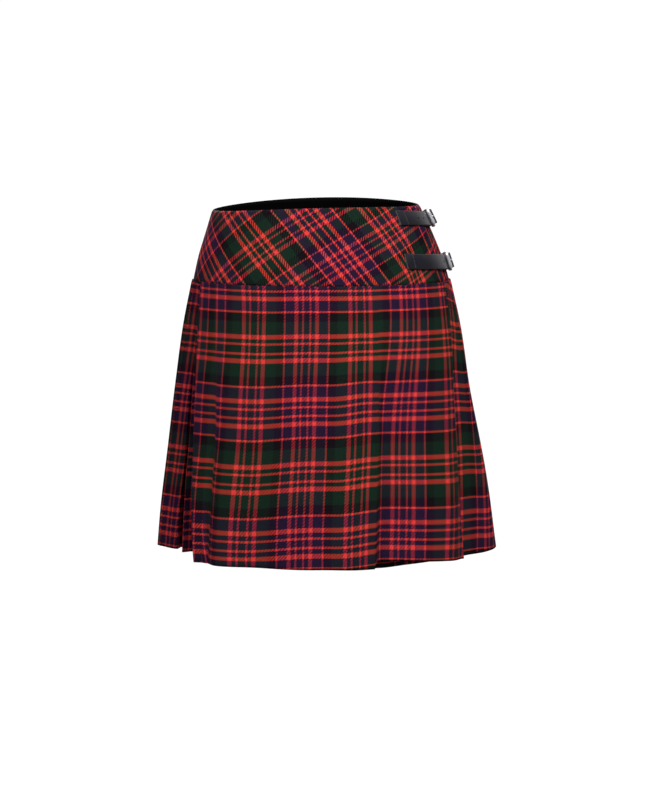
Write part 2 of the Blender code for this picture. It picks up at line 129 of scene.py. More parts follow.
# What the buckles and the leather mirror: the white backdrop behind, a pale ceiling and a dim room in front.
direction = add_node(studio, "ShaderNodeTexCoord", {})["Generated"]
turned = add_node(studio, "ShaderNodeSeparateXYZ", {"Vector": direction})
back_wall = map_range(studio, turned["Y"], *BACK_WALL)
ceiling = map_range(studio, turned["Z"], *CEILING)
brighter = calculate(studio, "MAXIMUM", back_wall, ceiling)
mirrored = add_node(studio, "ShaderNodeBackground", {"Strength": brighter})["Background"]
seen = add_node(studio, "ShaderNodeLightPath", {})
lit = choose_shader(studio, seen["Is Glossy Ray"], surround, mirrored)
shown = choose_shader(studio, seen["Is Camera Ray"], lit, backdrop)
wire(studio, studio.nodes["World Output"], {"Surface": shown})

Lamp = namedtuple("Lamp", "name place size watts")
LAMPS = (
    Lamp("key", (0.8, -1.9, 2.2), 0.9, 82.0),
    Lamp("fill", (-1.5, -2.2, 1.5), 1.0, 29.0),
    Lamp("behind", (-0.6, 2.7, 1.4), 1.8, 60.0),
)
SKIRT_MIDDLE = Vector((0.0, 0.0, -0.05))
for lamp in LAMPS:
    light = bpy.data.lights.new(lamp.name, "AREA")
    light.size = lamp.size
    light.energy = lamp.watts
    holder = bpy.data.objects.new(lamp.name, light)
    holder.location = lamp.place
    holder.rotation_euler = (SKIRT_MIDDLE - Vector(lamp.place)).to_track_quat("-Z", "Y").to_euler()
    bpy.context.scene.collection.objects.link(holder)

FLOOR_HEIGHT = -0.75
FLOOR_HALF = 14.0
FLOOR_GREY = (0.20, 0.20, 0.20, 1.0)
floor_paint, paint_nodes, floor_shader = new_material("pale floor")
wire(paint_nodes, floor_shader, {"Base Color": FLOOR_GREY, "Roughness": 0.9})
floor_seen = add_node(paint_nodes, "ShaderNodeLightPath", {})["Is Camera Ray"]
floor_glow = add_node(paint_nodes, "ShaderNodeEmission", {"Strength": BACKDROP_LIGHT})["Emission"]
floor_finish = choose_shader(paint_nodes, floor_seen, floor_shader.outputs["BSDF"], floor_glow)
wire(paint_nodes, paint_nodes.nodes["Material Output"], {"Surface": floor_finish})
floor_sides = ((-1, -1), (1, -1), (1, 1), (-1, 1))
floor_corners = [(x * FLOOR_HALF, y * FLOOR_HALF, FLOOR_HEIGHT) for x, y in floor_sides]
floor = new_piece("floor", floor_corners, [(0, 1, 2, 3)], floor_paint)

# Front yoke: a hip-deep band of twill wool cut on the bias, so that the check runs slantwise. Its upper
# edge is turned in, its lower edge is sewn down over the skirt, and its right end lies over the under-yoke.
Ring = namedtuple("Ring", "z half_width half_depth centre_x")
YOKE_RINGS = (
    Ring(0.0040, 0.1185, 0.0878, 0.0000),
    Ring(0.0000, 0.1200, 0.0890, 0.0000),
    Ring(-0.0300, 0.1318, 0.0985, 0.0025),
    Ring(-0.0600, 0.1425, 0.1070, 0.0040),
    Ring(-0.0900, 0.1505, 0.1140, 0.0055),
)
WAIST_FRONT = 0.0
WAIST_BACK = 0.0035
WAIST_LEFT = 0.0  # the wearer's left, and the next the wearer's right
WAIST_RIGHT = -0.0060
SEAM = -0.0868
YOKE_THICK = 0.0014
YOKE_FROM = -95.0
YOKE_TO = 69.0
UNDER_LAYER = 0.0020  # how far the pieces behind lie inside the front yoke's face
TURNED_EDGE = 0.0022  # width over which an edge rounds inwards
EDGE_ROUNDING = 0.0009
SEAM_ROUNDING = 0.0002
YOKE_RIPPLE = 0.00035
RIPPLE_FADE = 0.012  # width over which the ripple dies out towards an edge
Wave = namedtuple("Wave", "turns rise start share")
CLOTH_WAVES = (
    Wave(7.0, 31.0, 0.4, 0.45),
    Wave(-11.0, 47.0, 2.1, 0.35),
    Wave(19.0, 23.0, 4.0, 0.20),
)
Ramp = namedtuple("Ramp", "start width")  # with a minus width it rises the other way


def curve(start, lead, end, trail, share):
    """A smooth curve from start to end that leaves at the slope lead and comes in at the slope trail."""
    square = share * share
    cube = square * share
    return (start * (2 * cube - 3 * square + 1) + lead * (cube - 2 * square + share)
            + end * (3 * square - 2 * cube) + trail * (cube - square))


def row_values(rows, key):
    """Read a table's columns at key, on a smooth curve through its rows."""
    keys = [row[0] for row in rows]
    sign = 1.0 if keys[-1] > keys[0] else -1.0
    key = min(max(key * sign, keys[0] * sign), keys[-1] * sign) * sign
    index = 0
    while index < len(rows) - 2 and (keys[index + 1] - key) * sign < 0.0:
        index += 1
    span = keys[index + 1] - keys[index]
    before = max(index - 1, 0)
    after = min(index + 2, len(rows) - 1)
    values = []
    for column in range(1, len(rows[0])):
        start = rows[index][column]
        end = rows[index + 1][column]
        lead = (end - rows[before][column]) / (keys[index + 1] - keys[before]) * span
        trail = (rows[after][column] - start) / (keys[after] - keys[index]) * span
        values.append(curve(start, lead, end, trail, (key - keys[index]) / span))
    return values


def mix(first, second, share):
    return first + (second - first) * share


def smooth(value):
    value = min(1.0, max(0.0, value))
    return value * value * (3.0 - 2.0 * value)


def up_ramp(value, ramp):
    """How far up a ramp a value is: nought before its start, one past its width."""
    return smooth((value - ramp.start) / ramp.width)


def spread(first, last, count):
    return [mix(first, last, index / (count - 1)) for index in range(count)]


def ring_point(rings, angle, z, inset=0.0):
    half_width, half_depth, centre_x = row_values(rings, z)
    turn = math.radians(angle)
    x = centre_x + (half_width - inset) * math.sin(turn)
    return Vector((x, -(half_depth - inset) * math.cos(turn), z))


def ring_speed(rings, angle, z):
    """Metres of ring for one degree."""
    half_width, half_depth, _ = row_values(rings, z)
    turn = math.radians(angle)
    return math.radians(math.hypot(half_width * math.cos(turn), half_depth * math.sin(turn)))


def arc_table(rings, z, step=2.0):
    """Distance along the ring from the centre front, every few degrees each way."""
    table = {0: 0.0}
    for side in (1, -1):
        total = 0.0
        for number in range(1, 181):
            total += ring_speed(rings, side * (number - 0.5) * step, z) * step
            table[side * number] = side * total
    return table, step


def arc_at(table, angle):
    distances, step = table
    number = math.floor(angle / step)
    return mix(distances[number], distances[number + 1], angle / step - number)


def waist_edge(angle):
    turn = math.radians(angle)
    mean = (WAIST_FRONT + WAIST_BACK + WAIST_LEFT + WAIST_RIGHT) / 4
    front_back = (WAIST_FRONT - WAIST_BACK) / 2 * math.cos(turn)
    left_right = (WAIST_LEFT - WAIST_RIGHT) / 2 * math.sin(turn)
    four_way = (WAIST_FRONT + WAIST_BACK - WAIST_LEFT - WAIST_RIGHT) / 4 * math.cos(2 * turn)
    return mean + front_back + left_right + four_way


def unevenness(angle, z, size):
    """The slight hand of cloth: three slow slanting waves that never line up."""
    turn = math.radians(angle)
    total = 0.0
    for wave in CLOTH_WAVES:
        total += wave.share * math.sin(wave.turns * turn + wave.rise * z + wave.start)
    return size * total


def rounded_in(share):
    """How far an edge is rounded in: one at the edge itself, nought from a share of one on."""
    return 1.0 - math.sin(min(1.0, share) * math.pi / 2)


def cloth_shell(name, levels, thickness, material, back_first=False):
    """A grid of outer-face points, given its thickness inwards.

    A level is a row of points and their places in the flat cloth, which the stripes follow. Where the
    stripes are eased it also has the places that the threads follow.
    """
    rows, *layouts = zip(*levels)
    count = len(rows[0])
    faces = []
    for level in range(len(rows) - 1):
        for index in range(count - 1):
            corner = level * count + index
            face = (corner, corner + count, corner + count + 1, corner + 1)
            faces.append(face[::-1] if back_first else face)
    piece = new_piece(name, [point for row in rows for point in row], faces, material)
    for layout, places in (("cloth", layouts[0]), ("threads", layouts[-1])):
        flat = [place for row in places for place in row]
        coordinates = piece.data.uv_layers.new(name=layout)
        for loop in piece.data.loops:
            coordinates.data[loop.index].uv = flat[loop.vertex_index]
    piece.data.shade_smooth()
    thick = piece.modifiers.new("cloth thickness", "SOLIDIFY")
    thick.thickness = thickness
    thick.offset = -1.0
    thick.use_even_offset = False
    return piece


def stand_for(piece, node):
    """The piece takes the place of a solid, which is hidden, and hangs from the root."""
    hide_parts(node)
    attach(piece, "root")


def cloth_for(piece, node):
    """The piece takes a solid's place, as stand_for does."""
    stand_for(piece, node)


# The woven check. Warp and weft carry the same stripes in the same order, turned back at a green pivot and
# at a navy one, and a two-over-two twill shows them in small slanting steps.
WARP_HALF_SETT = 0.0640
WEFT_HALF_SETT = 0.0718
THREAD = 0.00090
# how much darker a red thread is painted where it crosses a dark one: painted shade
PAINTED_THREAD_SHADE_BY_DARK = 0.64
WARP_SHARE = 0.43  # of the face, where warp and weft cross
PATCH_SCALE = 38.0  # of the dye's slow changes and of the fibres, to a metre
FIBRE_SCALE = 560.0
CLOTH_RELIEF = (0.35, 0.00025)  # strength and depth
FIBRE_HEIGHT = 0.6
CLOTH_ROUGHNESS = 0.86
ROUGHNESS_SPREAD = 0.20
WEFT_COLOURS = {
    "red": (0.880, 0.060, 0.042),
    "green": (0.0115, 0.0345, 0.0210),
    "black": (0.0100, 0.0060, 0.0090),
    "navy": (0.0280, 0.0125, 0.0460),
}
WARP_COLOURS = {  # the warp is the duller of the two
    **WEFT_COLOURS,
    "red": (0.700, 0.040, 0.050),
    "green": (0.0105, 0.0325, 0.0200),
}
Stripe = namedtuple("Stripe", "start colour")
STRIPES = (
    Stripe(0.000, "green"),
    Stripe(0.057, "red"),
    Stripe(0.090, "green"),
    Stripe(0.155, "red"),
    Stripe(0.225, "green"),
    Stripe(0.430, "black"),
    Stripe(0.571, "red"),
    Stripe(0.604, "navy"),
    Stripe(0.772, "red"),
    Stripe(0.842, "navy"),
    Stripe(0.914, "red"),
    Stripe(0.947, "navy"),
)


def new_group(name, inputs):
    """A shader node group for inputs of (name, socket type, default), with its inputs and its output node."""
    group = bpy.data.node_groups.new(name, "ShaderNodeTree")
    for socket, kind, value in inputs:
        made = group.interface.new_socket(socket, in_out="INPUT", socket_type=kind)
        if value is not None:
            made.default_value = value
    group.interface.new_socket("Color", in_out="OUTPUT", socket_type="NodeSocketColor")
    for socket in ("Height", "Roughness"):
        group.interface.new_socket(socket, in_out="OUTPUT", socket_type="NodeSocketFloat")
    return group, group.nodes.new("NodeGroupInput").outputs, group.nodes.new("NodeGroupOutput")


def mix_colours(tree, share, first, second):
    node = tree.nodes.new("ShaderNodeMix")
    node.data_type = "RGBA"
    return wire(tree, node, {"Factor": share, "A": first, "B": second})["Result"]


def noise(tree, scale, detail=2.0, place=None):
    inputs = {"Scale": scale, "Detail": detail}
    if place is not None:
        inputs["Vector"] = place
    return add_node(tree, "ShaderNodeTexNoise", inputs)["Fac"]


def stripe_ramp(tree, place, half_sett, colours):
    """The colour of one set of threads at a place across them."""
    share = calculate(tree, "PINGPONG", calculate(tree, "DIVIDE", place, half_sett), 1.0)
    ramp = tree.nodes.new("ShaderNodeValToRGB")
    elements = ramp.color_ramp.elements
    ramp.color_ramp.interpolation = "CONSTANT"
    while len(elements) < len(STRIPES):
        elements.new(1.0)
    for element, stripe in zip(elements, STRIPES):
        element.position = stripe.start
    for element, stripe in zip(elements, STRIPES):
        element.color = (*colours[stripe.colour], 1.0)
    return wire(tree, ramp, {"Fac": share})["Color"]


weave, given, weave_out = new_group("woven check", [
    ("Cloth Place", "NodeSocketVector", None),
    ("Thread Place", "NodeSocketVector", None),
    ("Fading", "NodeSocketFloat", 0.10),
    ("Slub", "NodeSocketFloat", 1.10),
])
cloth_place = add_node(weave, "ShaderNodeSeparateXYZ", {"Vector": given["Cloth Place"]})
warp_colour = stripe_ramp(weave, cloth_place["X"], WARP_HALF_SETT, WARP_COLOURS)
weft_colour = stripe_ramp(weave, cloth_place["Y"], WEFT_HALF_SETT, WEFT_COLOURS)
# The warp lies on top over two threads out of four, one thread further on in each row.
thread_place = add_node(weave, "ShaderNodeSeparateXYZ", {"Vector": given["Thread Place"]})
slant = calculate(weave, "ADD", thread_place["X"], thread_place["Y"])
slant_share = calculate(weave, "FRACT", calculate(weave, "DIVIDE", slant, 4.0 * THREAD))
warp_on_top = calculate(weave, "LESS_THAN", slant_share, WARP_SHARE)
thread_colour = mix_colours(weave, warp_on_top, weft_colour, warp_colour)
# Painted light between the threads: a red thread is painted brighter where it crosses red, as if lit by light
# bounced among red threads, and painted darker where it crosses a dark one, as painted shade.
under_colour = mix_colours(weave, warp_on_top, warp_colour, weft_colour)
under_red = add_node(weave, "ShaderNodeSeparateColor", {"Color": under_colour})["Red"]
painted_crossing_light = map_range(weave, under_red, 0.0, WARP_COLOURS["red"][0], PAINTED_THREAD_SHADE_BY_DARK, 1.0)
# Dye and light vary a little from place to place and from fibre to fibre.
patchy = calculate(weave, "SUBTRACT", noise(weave, PATCH_SCALE, 4.0, given["Thread Place"]), 0.5)
fibrous = calculate(weave, "SUBTRACT", noise(weave, FIBRE_SCALE, 4.0, given["Thread Place"]), 0.5)
variation = calculate(weave, "MULTIPLY_ADD", patchy, given["Fading"], 1.0)
variation = calculate(weave, "MULTIPLY_ADD", fibrous, given["Slub"], variation)
# The painted light between the threads scales the colour too.
variation = calculate(weave, "MULTIPLY", variation, painted_crossing_light)
shade = weave.nodes.new("ShaderNodeVectorMath")
shade.operation = "SCALE"
# Each floating thread is round, and the twill lines stand a little proud.
crossing = {"Factor": warp_on_top}
for yarn, axis in (("A", "Y"), ("B", "X")):
    crossing[yarn] = calculate(weave, "PINGPONG", calculate(weave, "DIVIDE", thread_place[axis], THREAD), 0.5)
round_thread = add_node(weave, "ShaderNodeMix", crossing)["Result"]
ridge = calculate(weave, "PINGPONG", slant_share, 0.25)
height = calculate(weave, "ADD", round_thread, ridge)
wire(weave, weave_out, {
    "Color": wire(weave, shade, {"Vector": thread_colour, "Scale": variation})["Vector"],
    "Height": calculate(weave, "MULTIPLY_ADD", fibrous, FIBRE_HEIGHT, height),
    "Roughness": calculate(weave, "MULTIPLY_ADD", fibrous, ROUGHNESS_SPREAD, CLOTH_ROUGHNESS),
})


def finish_from(tree, shader, group, inputs, relief):
    """Feed a Principled shader from a group's colour, roughness and height; relief is strength and depth."""
    finish = tree.nodes.new("ShaderNodeGroup")
    finish.node_tree = group
    made = wire(tree, finish, inputs)
    bump = {"Strength": relief[0], "Distance": relief[1], "Height": made["Height"]}
    wire(tree, shader, {
        "Base Color": made["Color"],
        "Roughness": made["Roughness"],
        "Normal": add_node(tree, "ShaderNodeBump", bump)["Normal"],
    })


def tartan(name):
    """A material of the woven check, whose places come from the piece's own flat layouts."""
    material, tree, shader = new_material(name)
    wire(tree, shader, {"Specular IOR Level": 0.06, "Sheen Weight": 0.010, "Sheen Roughness": 0.5})
    places = {}
    for layout, socket in (("cloth", "Cloth Place"), ("threads", "Thread Place")):
        flat_layout = tree.nodes.new("ShaderNodeUVMap")
        flat_layout.uv_map = layout
        places[socket] = flat_layout.outputs["UV"]
    finish_from(tree, shader, weave, places, CLOTH_RELIEF)
    return material


# How the slanting cloth lies on the yoke: weft lines fall to the right, warp lines rise to the right.
WEFT_LINE_SLOPE = 51.9
WARP_LINE_SLOPE = 27.7
YOKE_WEFT_HALF = 0.0670
YOKE_WARP_HALF = 0.0594
YOKE_WEFT_START = 1.2275
YOKE_WARP_START = 1.9
YOKE_WEFT_BOW = 0.05
YOKE_WARP_BOW = -0.0406
YOKE_WARP_FAN = 0.106
BOW_ARC = 0.100
BOW_LIMIT = 3.0
FAN_DROP = 0.080
FAN_LIMIT = 2.0
HIP_ARC = Ramp(0.100, 0.022)  # past this the slanting weft stands up, pulled by the wrap
HIP_DROP = 0.033
HIP_PULL = 0.215


def bias_place(arc, drop, pulled):
    """Where a point of the yoke lies in the cloth, from its distance round and its drop below the waist.

    The front is pulled by the wrap, so its stripes bow and fan.
    """
    weft_slope = math.radians(WEFT_LINE_SLOPE)
    warp_slope = math.radians(WARP_LINE_SLOPE)
    weft = (arc * math.sin(weft_slope) - drop * math.cos(weft_slope)) / YOKE_WEFT_HALF + YOKE_WEFT_START
    warp = (arc * math.sin(warp_slope) + drop * math.cos(warp_slope)) / YOKE_WARP_HALF + YOKE_WARP_START
    if pulled:
        round_share = arc / BOW_ARC
        bow = min(round_share ** 2, BOW_LIMIT)
        weft += YOKE_WEFT_BOW * bow
        weft += HIP_PULL * (drop - HIP_DROP) / YOKE_WEFT_HALF * up_ramp(arc, HIP_ARC)
        fan = drop / FAN_DROP * max(-FAN_LIMIT, min(FAN_LIMIT, round_share))
        warp += YOKE_WARP_BOW * bow + YOKE_WARP_FAN * fan
    return warp * WARP_HALF_SETT, weft * WEFT_HALF_SETT


def yoke_band(name, first, last, columns, inset_at, material, levels=36, grain_centre=0.0):
    """One piece of the yoke, from the waist edge to the seam, with both long edges rounded in."""
    band = []
    for share in spread(0.0, 1.0, levels):
        arcs = arc_table(YOKE_RINGS, mix(0.0, SEAM, share))
        row = []
        place = []
        for angle in spread(first, last, columns):
            top = waist_edge(angle)
            z = mix(top, SEAM, share)
            edge = min(top - z, z - SEAM)
            turned_in = EDGE_ROUNDING if top - z < z - SEAM else SEAM_ROUNDING
            rounding = turned_in * rounded_in(edge / TURNED_EDGE)
            ripple = unevenness(angle, z, YOKE_RIPPLE) * smooth(edge / RIPPLE_FADE)
            row.append(ring_point(YOKE_RINGS, angle, z, inset_at(angle) + rounding - ripple))
            arc = arc_at(arcs, angle) - arc_at(arcs, grain_centre)
            place.append(bias_place(arc, -z, grain_centre == 0.0))
        band.append((row, place))
    return cloth_shell(name, band, YOKE_THICK, material)


front_yoke = yoke_band("front_yoke_cloth", YOKE_FROM, YOKE_TO, 210, lambda angle: 0.0,
                       tartan("tartan front yoke"))
cloth_for(front_yoke, "yoke_over")

# Under-yoke: the same bias cloth on the under-apron's side of the wrap, behind the front yoke. It shows
# only past the front yoke's free end, under the straps.
UNDER_YOKE_FROM = -50.0
BACK_SEAM = 90.0
SIDE_GAP = 0.1

under_yoke = yoke_band("under_yoke_cloth", UNDER_YOKE_FROM, BACK_SEAM - SIDE_GAP, 120,
                       lambda angle: UNDER_LAYER, tartan("tartan under yoke"), levels=24)
cloth_for(under_yoke, "yoke_under")

# Back yoke: the band across the back, side seam to side seam. At the wearer's left it lies one layer
# deeper, where it meets the under-yoke, and comes out to the front yoke's layer at the other side seam.
LAYER_STEP = Ramp(118.0, 47.0)


def layer(angle):
    if angle < 0.0:
        angle += 360.0
    return UNDER_LAYER * (1.0 - up_ramp(angle, LAYER_STEP))


back_yoke = yoke_band("back_yoke_cloth", BACK_SEAM + SIDE_GAP, 360.0 + YOKE_FROM - 2 * SIDE_GAP, 200,
                      layer, tartan("tartan back yoke"), grain_centre=180.0)
cloth_for(back_yoke, "yoke_back")

# Lining: a plain black band inside the yoke, which shows inside the back waist.
LINING_FROM = -48.0
LINING_TO = 308.0
LINING_THICK = 0.0008
LINING_RISE = 0.0004  # above the yoke's own edge, which it covers from inside
CLOTH_GAP = 0.0003
YOKE_SOLID = 0.0016
LINING_DEGREE = 0.002  # how wide a degree is in the lining's flat layout


def two_tones(tree, share, dark, pale):
    ramp = tree.nodes.new("ShaderNodeValToRGB")
    for element, tone in zip(ramp.color_ramp.elements, (dark, pale)):
        element.color = (*tone, 1.0)
    return wire(tree, ramp, {"Fac": share})["Color"]


def fine_grain(name, dark, pale, scale, roughness, specular=0.5):
    """A material with a small uneven grain between two tones."""
    material, tree, shader = new_material(name)
    wire(tree, shader, {
        "Base Color": two_tones(tree, noise(tree, scale), dark, pale),
        "Roughness": roughness,
        "Specular IOR Level": specular,
    })
    return material


lining_cloth = fine_grain("black lining", (0.0006, 0.0006, 0.0007), (0.0022, 0.0021, 0.0024), scale=900.0,
                          roughness=0.75, specular=0.05)
lining_levels = []
for share in spread(0.0, 1.0, 20):
    row = []
    place = []
    for angle in spread(LINING_FROM, LINING_TO, 260):
        z = mix(waist_edge(angle) + LINING_RISE, SEAM, share)
        covered = UNDER_LAYER if angle < BACK_SEAM else layer(angle)
        row.append(ring_point(YOKE_RINGS, angle, z, covered + YOKE_SOLID + CLOTH_GAP))
        place.append((angle * LINING_DEGREE, z))
    lining_levels.append((row, place))
lining = cloth_shell("yoke_lining_cloth", lining_levels, LINING_THICK, lining_cloth)
cloth_for(lining, "yoke_lining")

# Front apron: the flat, unpleated front of the wrap. Its left edge is folded under beside the pleats, its
# right edge is free, one deep fold runs down right of the middle, and softer ones spread from the hips.
SKIRT_RINGS = (
    Ring(-0.0860, 0.1515, 0.1150, 0.0055),
    Ring(-0.1400, 0.1628, 0.1250, 0.0060),
    Ring(-0.2050, 0.1728, 0.1340, 0.0065),
    Ring(-0.2750, 0.1840, 0.1410, 0.0082),
    Ring(-0.3450, 0.1946, 0.1462, 0.0090),
    Ring(-0.4070, 0.2020, 0.1500, 0.0100),
)
SKIRT_TOP = -0.0865  # just inside the yoke's lower edge, so that no light comes through the seam
HEM = -0.4040
SKIRT_THICK = 0.0013
FOLD_RADIUS_TOP = 0.0016
FOLD_RADIUS_HEM = 0.0028
Edge = namedtuple("Edge", "drop left right")
APRON_EDGES = (
    Edge(0.00, -66.5, 68.0),
    Edge(0.17, -61.5, 66.0),
    Edge(0.37, -57.5, 63.3),
    Edge(0.60, -54.5, 60.8),
    Edge(0.82, -51.5, 59.2),
    Edge(1.00, -48.9, 58.6),
)
APRON_RETURN = 0.016
Fold = namedtuple("Fold", "angle_top angle_hem left_width right_width depth start")
APRON_FOLDS = (
    Fold(-45.0, -45.5, 5.0, 8.0, -0.0060, 0.20),
    Fold(-36.0, -37.0, 8.0, 10.0, 0.0040, 0.15),
    Fold(-20.0, -23.0, 9.0, 9.0, -0.0030, 0.35),
    Fold(-8.0, -8.0, 10.0, 10.0, 0.0025, 0.40),
    Fold(12.0, 9.5, 11.0, 7.5, 0.0040, 0.10),
    Fold(68.0, 59.4, 15.0, 10.0, -0.0150, 0.00),
)
DEEP_FOLD = Fold(26.0, 18.7, 2.9, 21.0, -0.0130, 0.12)
SOFT_FOLD = Fold(21.0, 17.5, 5.5, 22.0, -0.0130, 0.12)  # the same fold as the stripes take it
CREST_TOP = 24.6  # the fold's crest, where the weft steps up: its angle at the seam and at the hem
CREST_HEM = 16.9
RIGHT_PANEL_LIFT = 0.0070
RIGHT_PANEL_LIFT_WIDTH = 41.0
RIGHT_PANEL_LIFT_POWER = 1.5
LIFT_STEP_WIDTH = 1.0
GrainLine = namedtuple("GrainLine", "drop angle")
GREEN_PIVOT_LINE = (  # the line of a green pivot of the warp, just left of the deep fold
    GrainLine(0.00, 16.2),
    GrainLine(0.06, 16.0),
    GrainLine(0.37, 13.9),
    GrainLine(0.83, 10.2),
    GrainLine(1.00, 9.3),
)
APRON_DROP_HALVES = 4.73  # half setts of weft from the seam to the hem
APRON_DROP_EASE = 0.068  # they lengthen towards the hem
TOP_EASE = 0.055  # the apron's top is eased on to the yoke
LEFT_CREASE_LINE = (  # left of it the cloth belongs to a fold that skips back along the check
    GrainLine(0.00, -52.5),
    GrainLine(0.05, -51.3),
    GrainLine(0.37, -44.8),
    GrainLine(0.77, -43.2),
    GrainLine(1.00, -43.0),
)
LEFT_CREASE_SKIP = 0.0280
LEFT_CREASE_LIFT = 0.0040
FOLD_RISE = 0.0040  # how far the weft climbs to the deep fold's crest
LEFT_SAG = 0.0070  # how far the weft hangs lower towards the folded edge
EDGE_EASE = 0.0240  # how far the stripes slip in from the free edge, which turns away
EDGE_EASE_WIDTH = 24.0
HEM_TURN = 0.0036  # the hem is turned up just below a thin stripe
HEM_TURN_DROP = Ramp(0.970, 0.022)
TAKE_UP = 0.0090  # cloth taken up in the deep fold, most of it half way down
LEFT_TAKE_UP = 0.0034
CORNER_DRAW = 0.0080  # the lower left corner is drawn out
SEAM_DIP = 0.0004  # the top edge dips in to the seam, under the yoke's edge
SEAM_DIP_DROP = 0.010
TAKE_UP_DROPS = (0.08, 0.50, 0.92)  # where it begins, is greatest and ends
LEFT_TAKE_UP_DROPS = (0.10, 0.45, 0.85)
LEFT_TAKE_UP_ANGLES = (-42.0, -20.0, -2.0)
CORNER_DROPS = (0.45, 0.68, 1.02)
CORNER_TOP_DROP = 0.3
CORNER_SHARES = (0.5, 0.4)  # of the corner's draw, at the top and at its own height
CORNER_FALL = Ramp(0.55, 0.45)
CORNER_SIDE = Ramp(-12.0, -30.0)
CORNER_EDGE = Ramp(-26.0, -14.0)
SAG_SIDE = Ramp(-4.0, -25.0)
SAG_FALL = Ramp(0.0, 0.75)
SAG_AT_SEAM = 0.2
CREASE_FALL = Ramp(0.15, 0.5)
EDGE_EASE_FALL = Ramp(0.0, 0.6)
TAKE_UP_STEP = Ramp(-1.0, 3.0)  # in degrees from the deep fold's crest
RISE_STEP = Ramp(0.0, -0.8)
RISE_SIDE = Ramp(3.0, 14.0)
RISE_DROP = 0.1
RISE_GROWTH = 3.0
CHECK_LIFT = -0.0006  # of the whole check on the skirt's front
SKIRT_RIPPLE = 0.0005
RIPPLE_GROWTH = 3.0  # the ripple is full a third of the way down
APRON_RIPPLE = 0.0006
APRON_RIPPLE_DEGREES = 6.0  # it dies out towards the folded edge
EDGE_ROUND_DEGREES = 0.6
HEM_ROUND_DROP = 0.007


def fold_height(angle, drop, deep_fold=DEEP_FOLD):
    total = 0.0
    for fold in (*APRON_FOLDS, deep_fold):
        away = angle - mix(fold.angle_top, fold.angle_hem, drop)
        width = fold.left_width if away < 0.0 else fold.right_width
        if abs(away) < width:
            growth = smooth((drop - fold.start) / (1.0 - fold.start))
            total += fold.depth * growth * 0.5 * (1.0 + math.cos(math.pi * away / width))
    return total


def panel_lift(angle, drop):
    away = angle - mix(CREST_TOP, CREST_HEM, drop)
    if away < 0.0:
        return RIGHT_PANEL_LIFT * smooth(1.0 + away / LIFT_STEP_WIDTH)
    return RIGHT_PANEL_LIFT * (1.0 - min(1.0, away / RIGHT_PANEL_LIFT_WIDTH) ** RIGHT_PANEL_LIFT_POWER)


def weft_place(drop):
    fall = 1.0 + APRON_DROP_HALVES * drop * (1.0 - APRON_DROP_EASE * drop)
    return WEFT_HALF_SETT * fall + HEM_TURN * up_ramp(drop, HEM_TURN_DROP)


def hill(value, start, top, end):
    """Nought at start and end, one at the top, smooth between."""
    return smooth((value - start) / (top - start)) * smooth((end - value) / (end - top))


def grain_slip(angle, drop):
    """How far the cloth's grain lies off its straight run, across and along it."""
    fold = mix(CREST_TOP, CREST_HEM, drop)
    edge = row_values(APRON_EDGES, drop)[1]
    across = TAKE_UP * hill(drop, *TAKE_UP_DROPS) * up_ramp(angle - fold, TAKE_UP_STEP)
    eased = max(0.0, 1.0 - (edge - angle) / EDGE_EASE_WIDTH) ** 2
    across -= EDGE_EASE * up_ramp(drop, EDGE_EASE_FALL) * eased
    across -= LEFT_TAKE_UP * hill(angle, *LEFT_TAKE_UP_ANGLES) * hill(drop, *LEFT_TAKE_UP_DROPS)
    across += CORNER_DRAW * up_ramp(angle, CORNER_SIDE) * up_ramp(drop, CORNER_FALL)
    top_share, corner_share = CORNER_SHARES
    drawn = top_share * smooth(1.0 - drop / CORNER_TOP_DROP) + corner_share * hill(drop, *CORNER_DROPS)
    across += CORNER_DRAW * up_ramp(angle, CORNER_EDGE) * drawn
    sag = SAG_AT_SEAM + (1.0 - SAG_AT_SEAM) * up_ramp(drop, SAG_FALL)
    along = CHECK_LIFT - LEFT_SAG * up_ramp(angle, SAG_SIDE) * sag
    if angle < row_values(LEFT_CREASE_LINE, drop)[0]:
        across += LEFT_CREASE_SKIP
        along += LEFT_CREASE_LIFT * up_ramp(drop, CREASE_FALL)
    climb = up_ramp(angle, RISE_SIDE) * up_ramp(angle - fold, RISE_STEP)
    return across, along + FOLD_RISE * smooth((drop - RISE_DROP) * RISE_GROWTH) * climb


def length_at(angles, lengths, wanted):
    """The length along a row where it reaches an angle."""
    after = next(index for index in range(1, len(angles)) if angles[index - 1] <= wanted < angles[index])
    share = (wanted - angles[after - 1]) / (angles[after] - angles[after - 1])
    return mix(lengths[after - 1], lengths[after], share)


def seam_dip(drop):
    return SEAM_DIP * rounded_in(drop / SEAM_DIP_DROP)


def fold_turn(angle, inset, radius, speed, direction, steps=7):
    """Points round a fold's edge, from its outer layer to the layer under it."""
    points = []
    for turn in spread(0.0, math.pi, steps)[1:-1]:
        swung = angle + direction * radius * math.sin(turn) / speed
        points.append((swung, inset + radius * (1 - math.cos(turn))))
    return points


def lengths_along(points):
    total = 0.0
    lengths = [0.0]
    for before, point in zip(points, points[1:]):
        total += (point.xy - before.xy).length
        lengths.append(total)
    return lengths


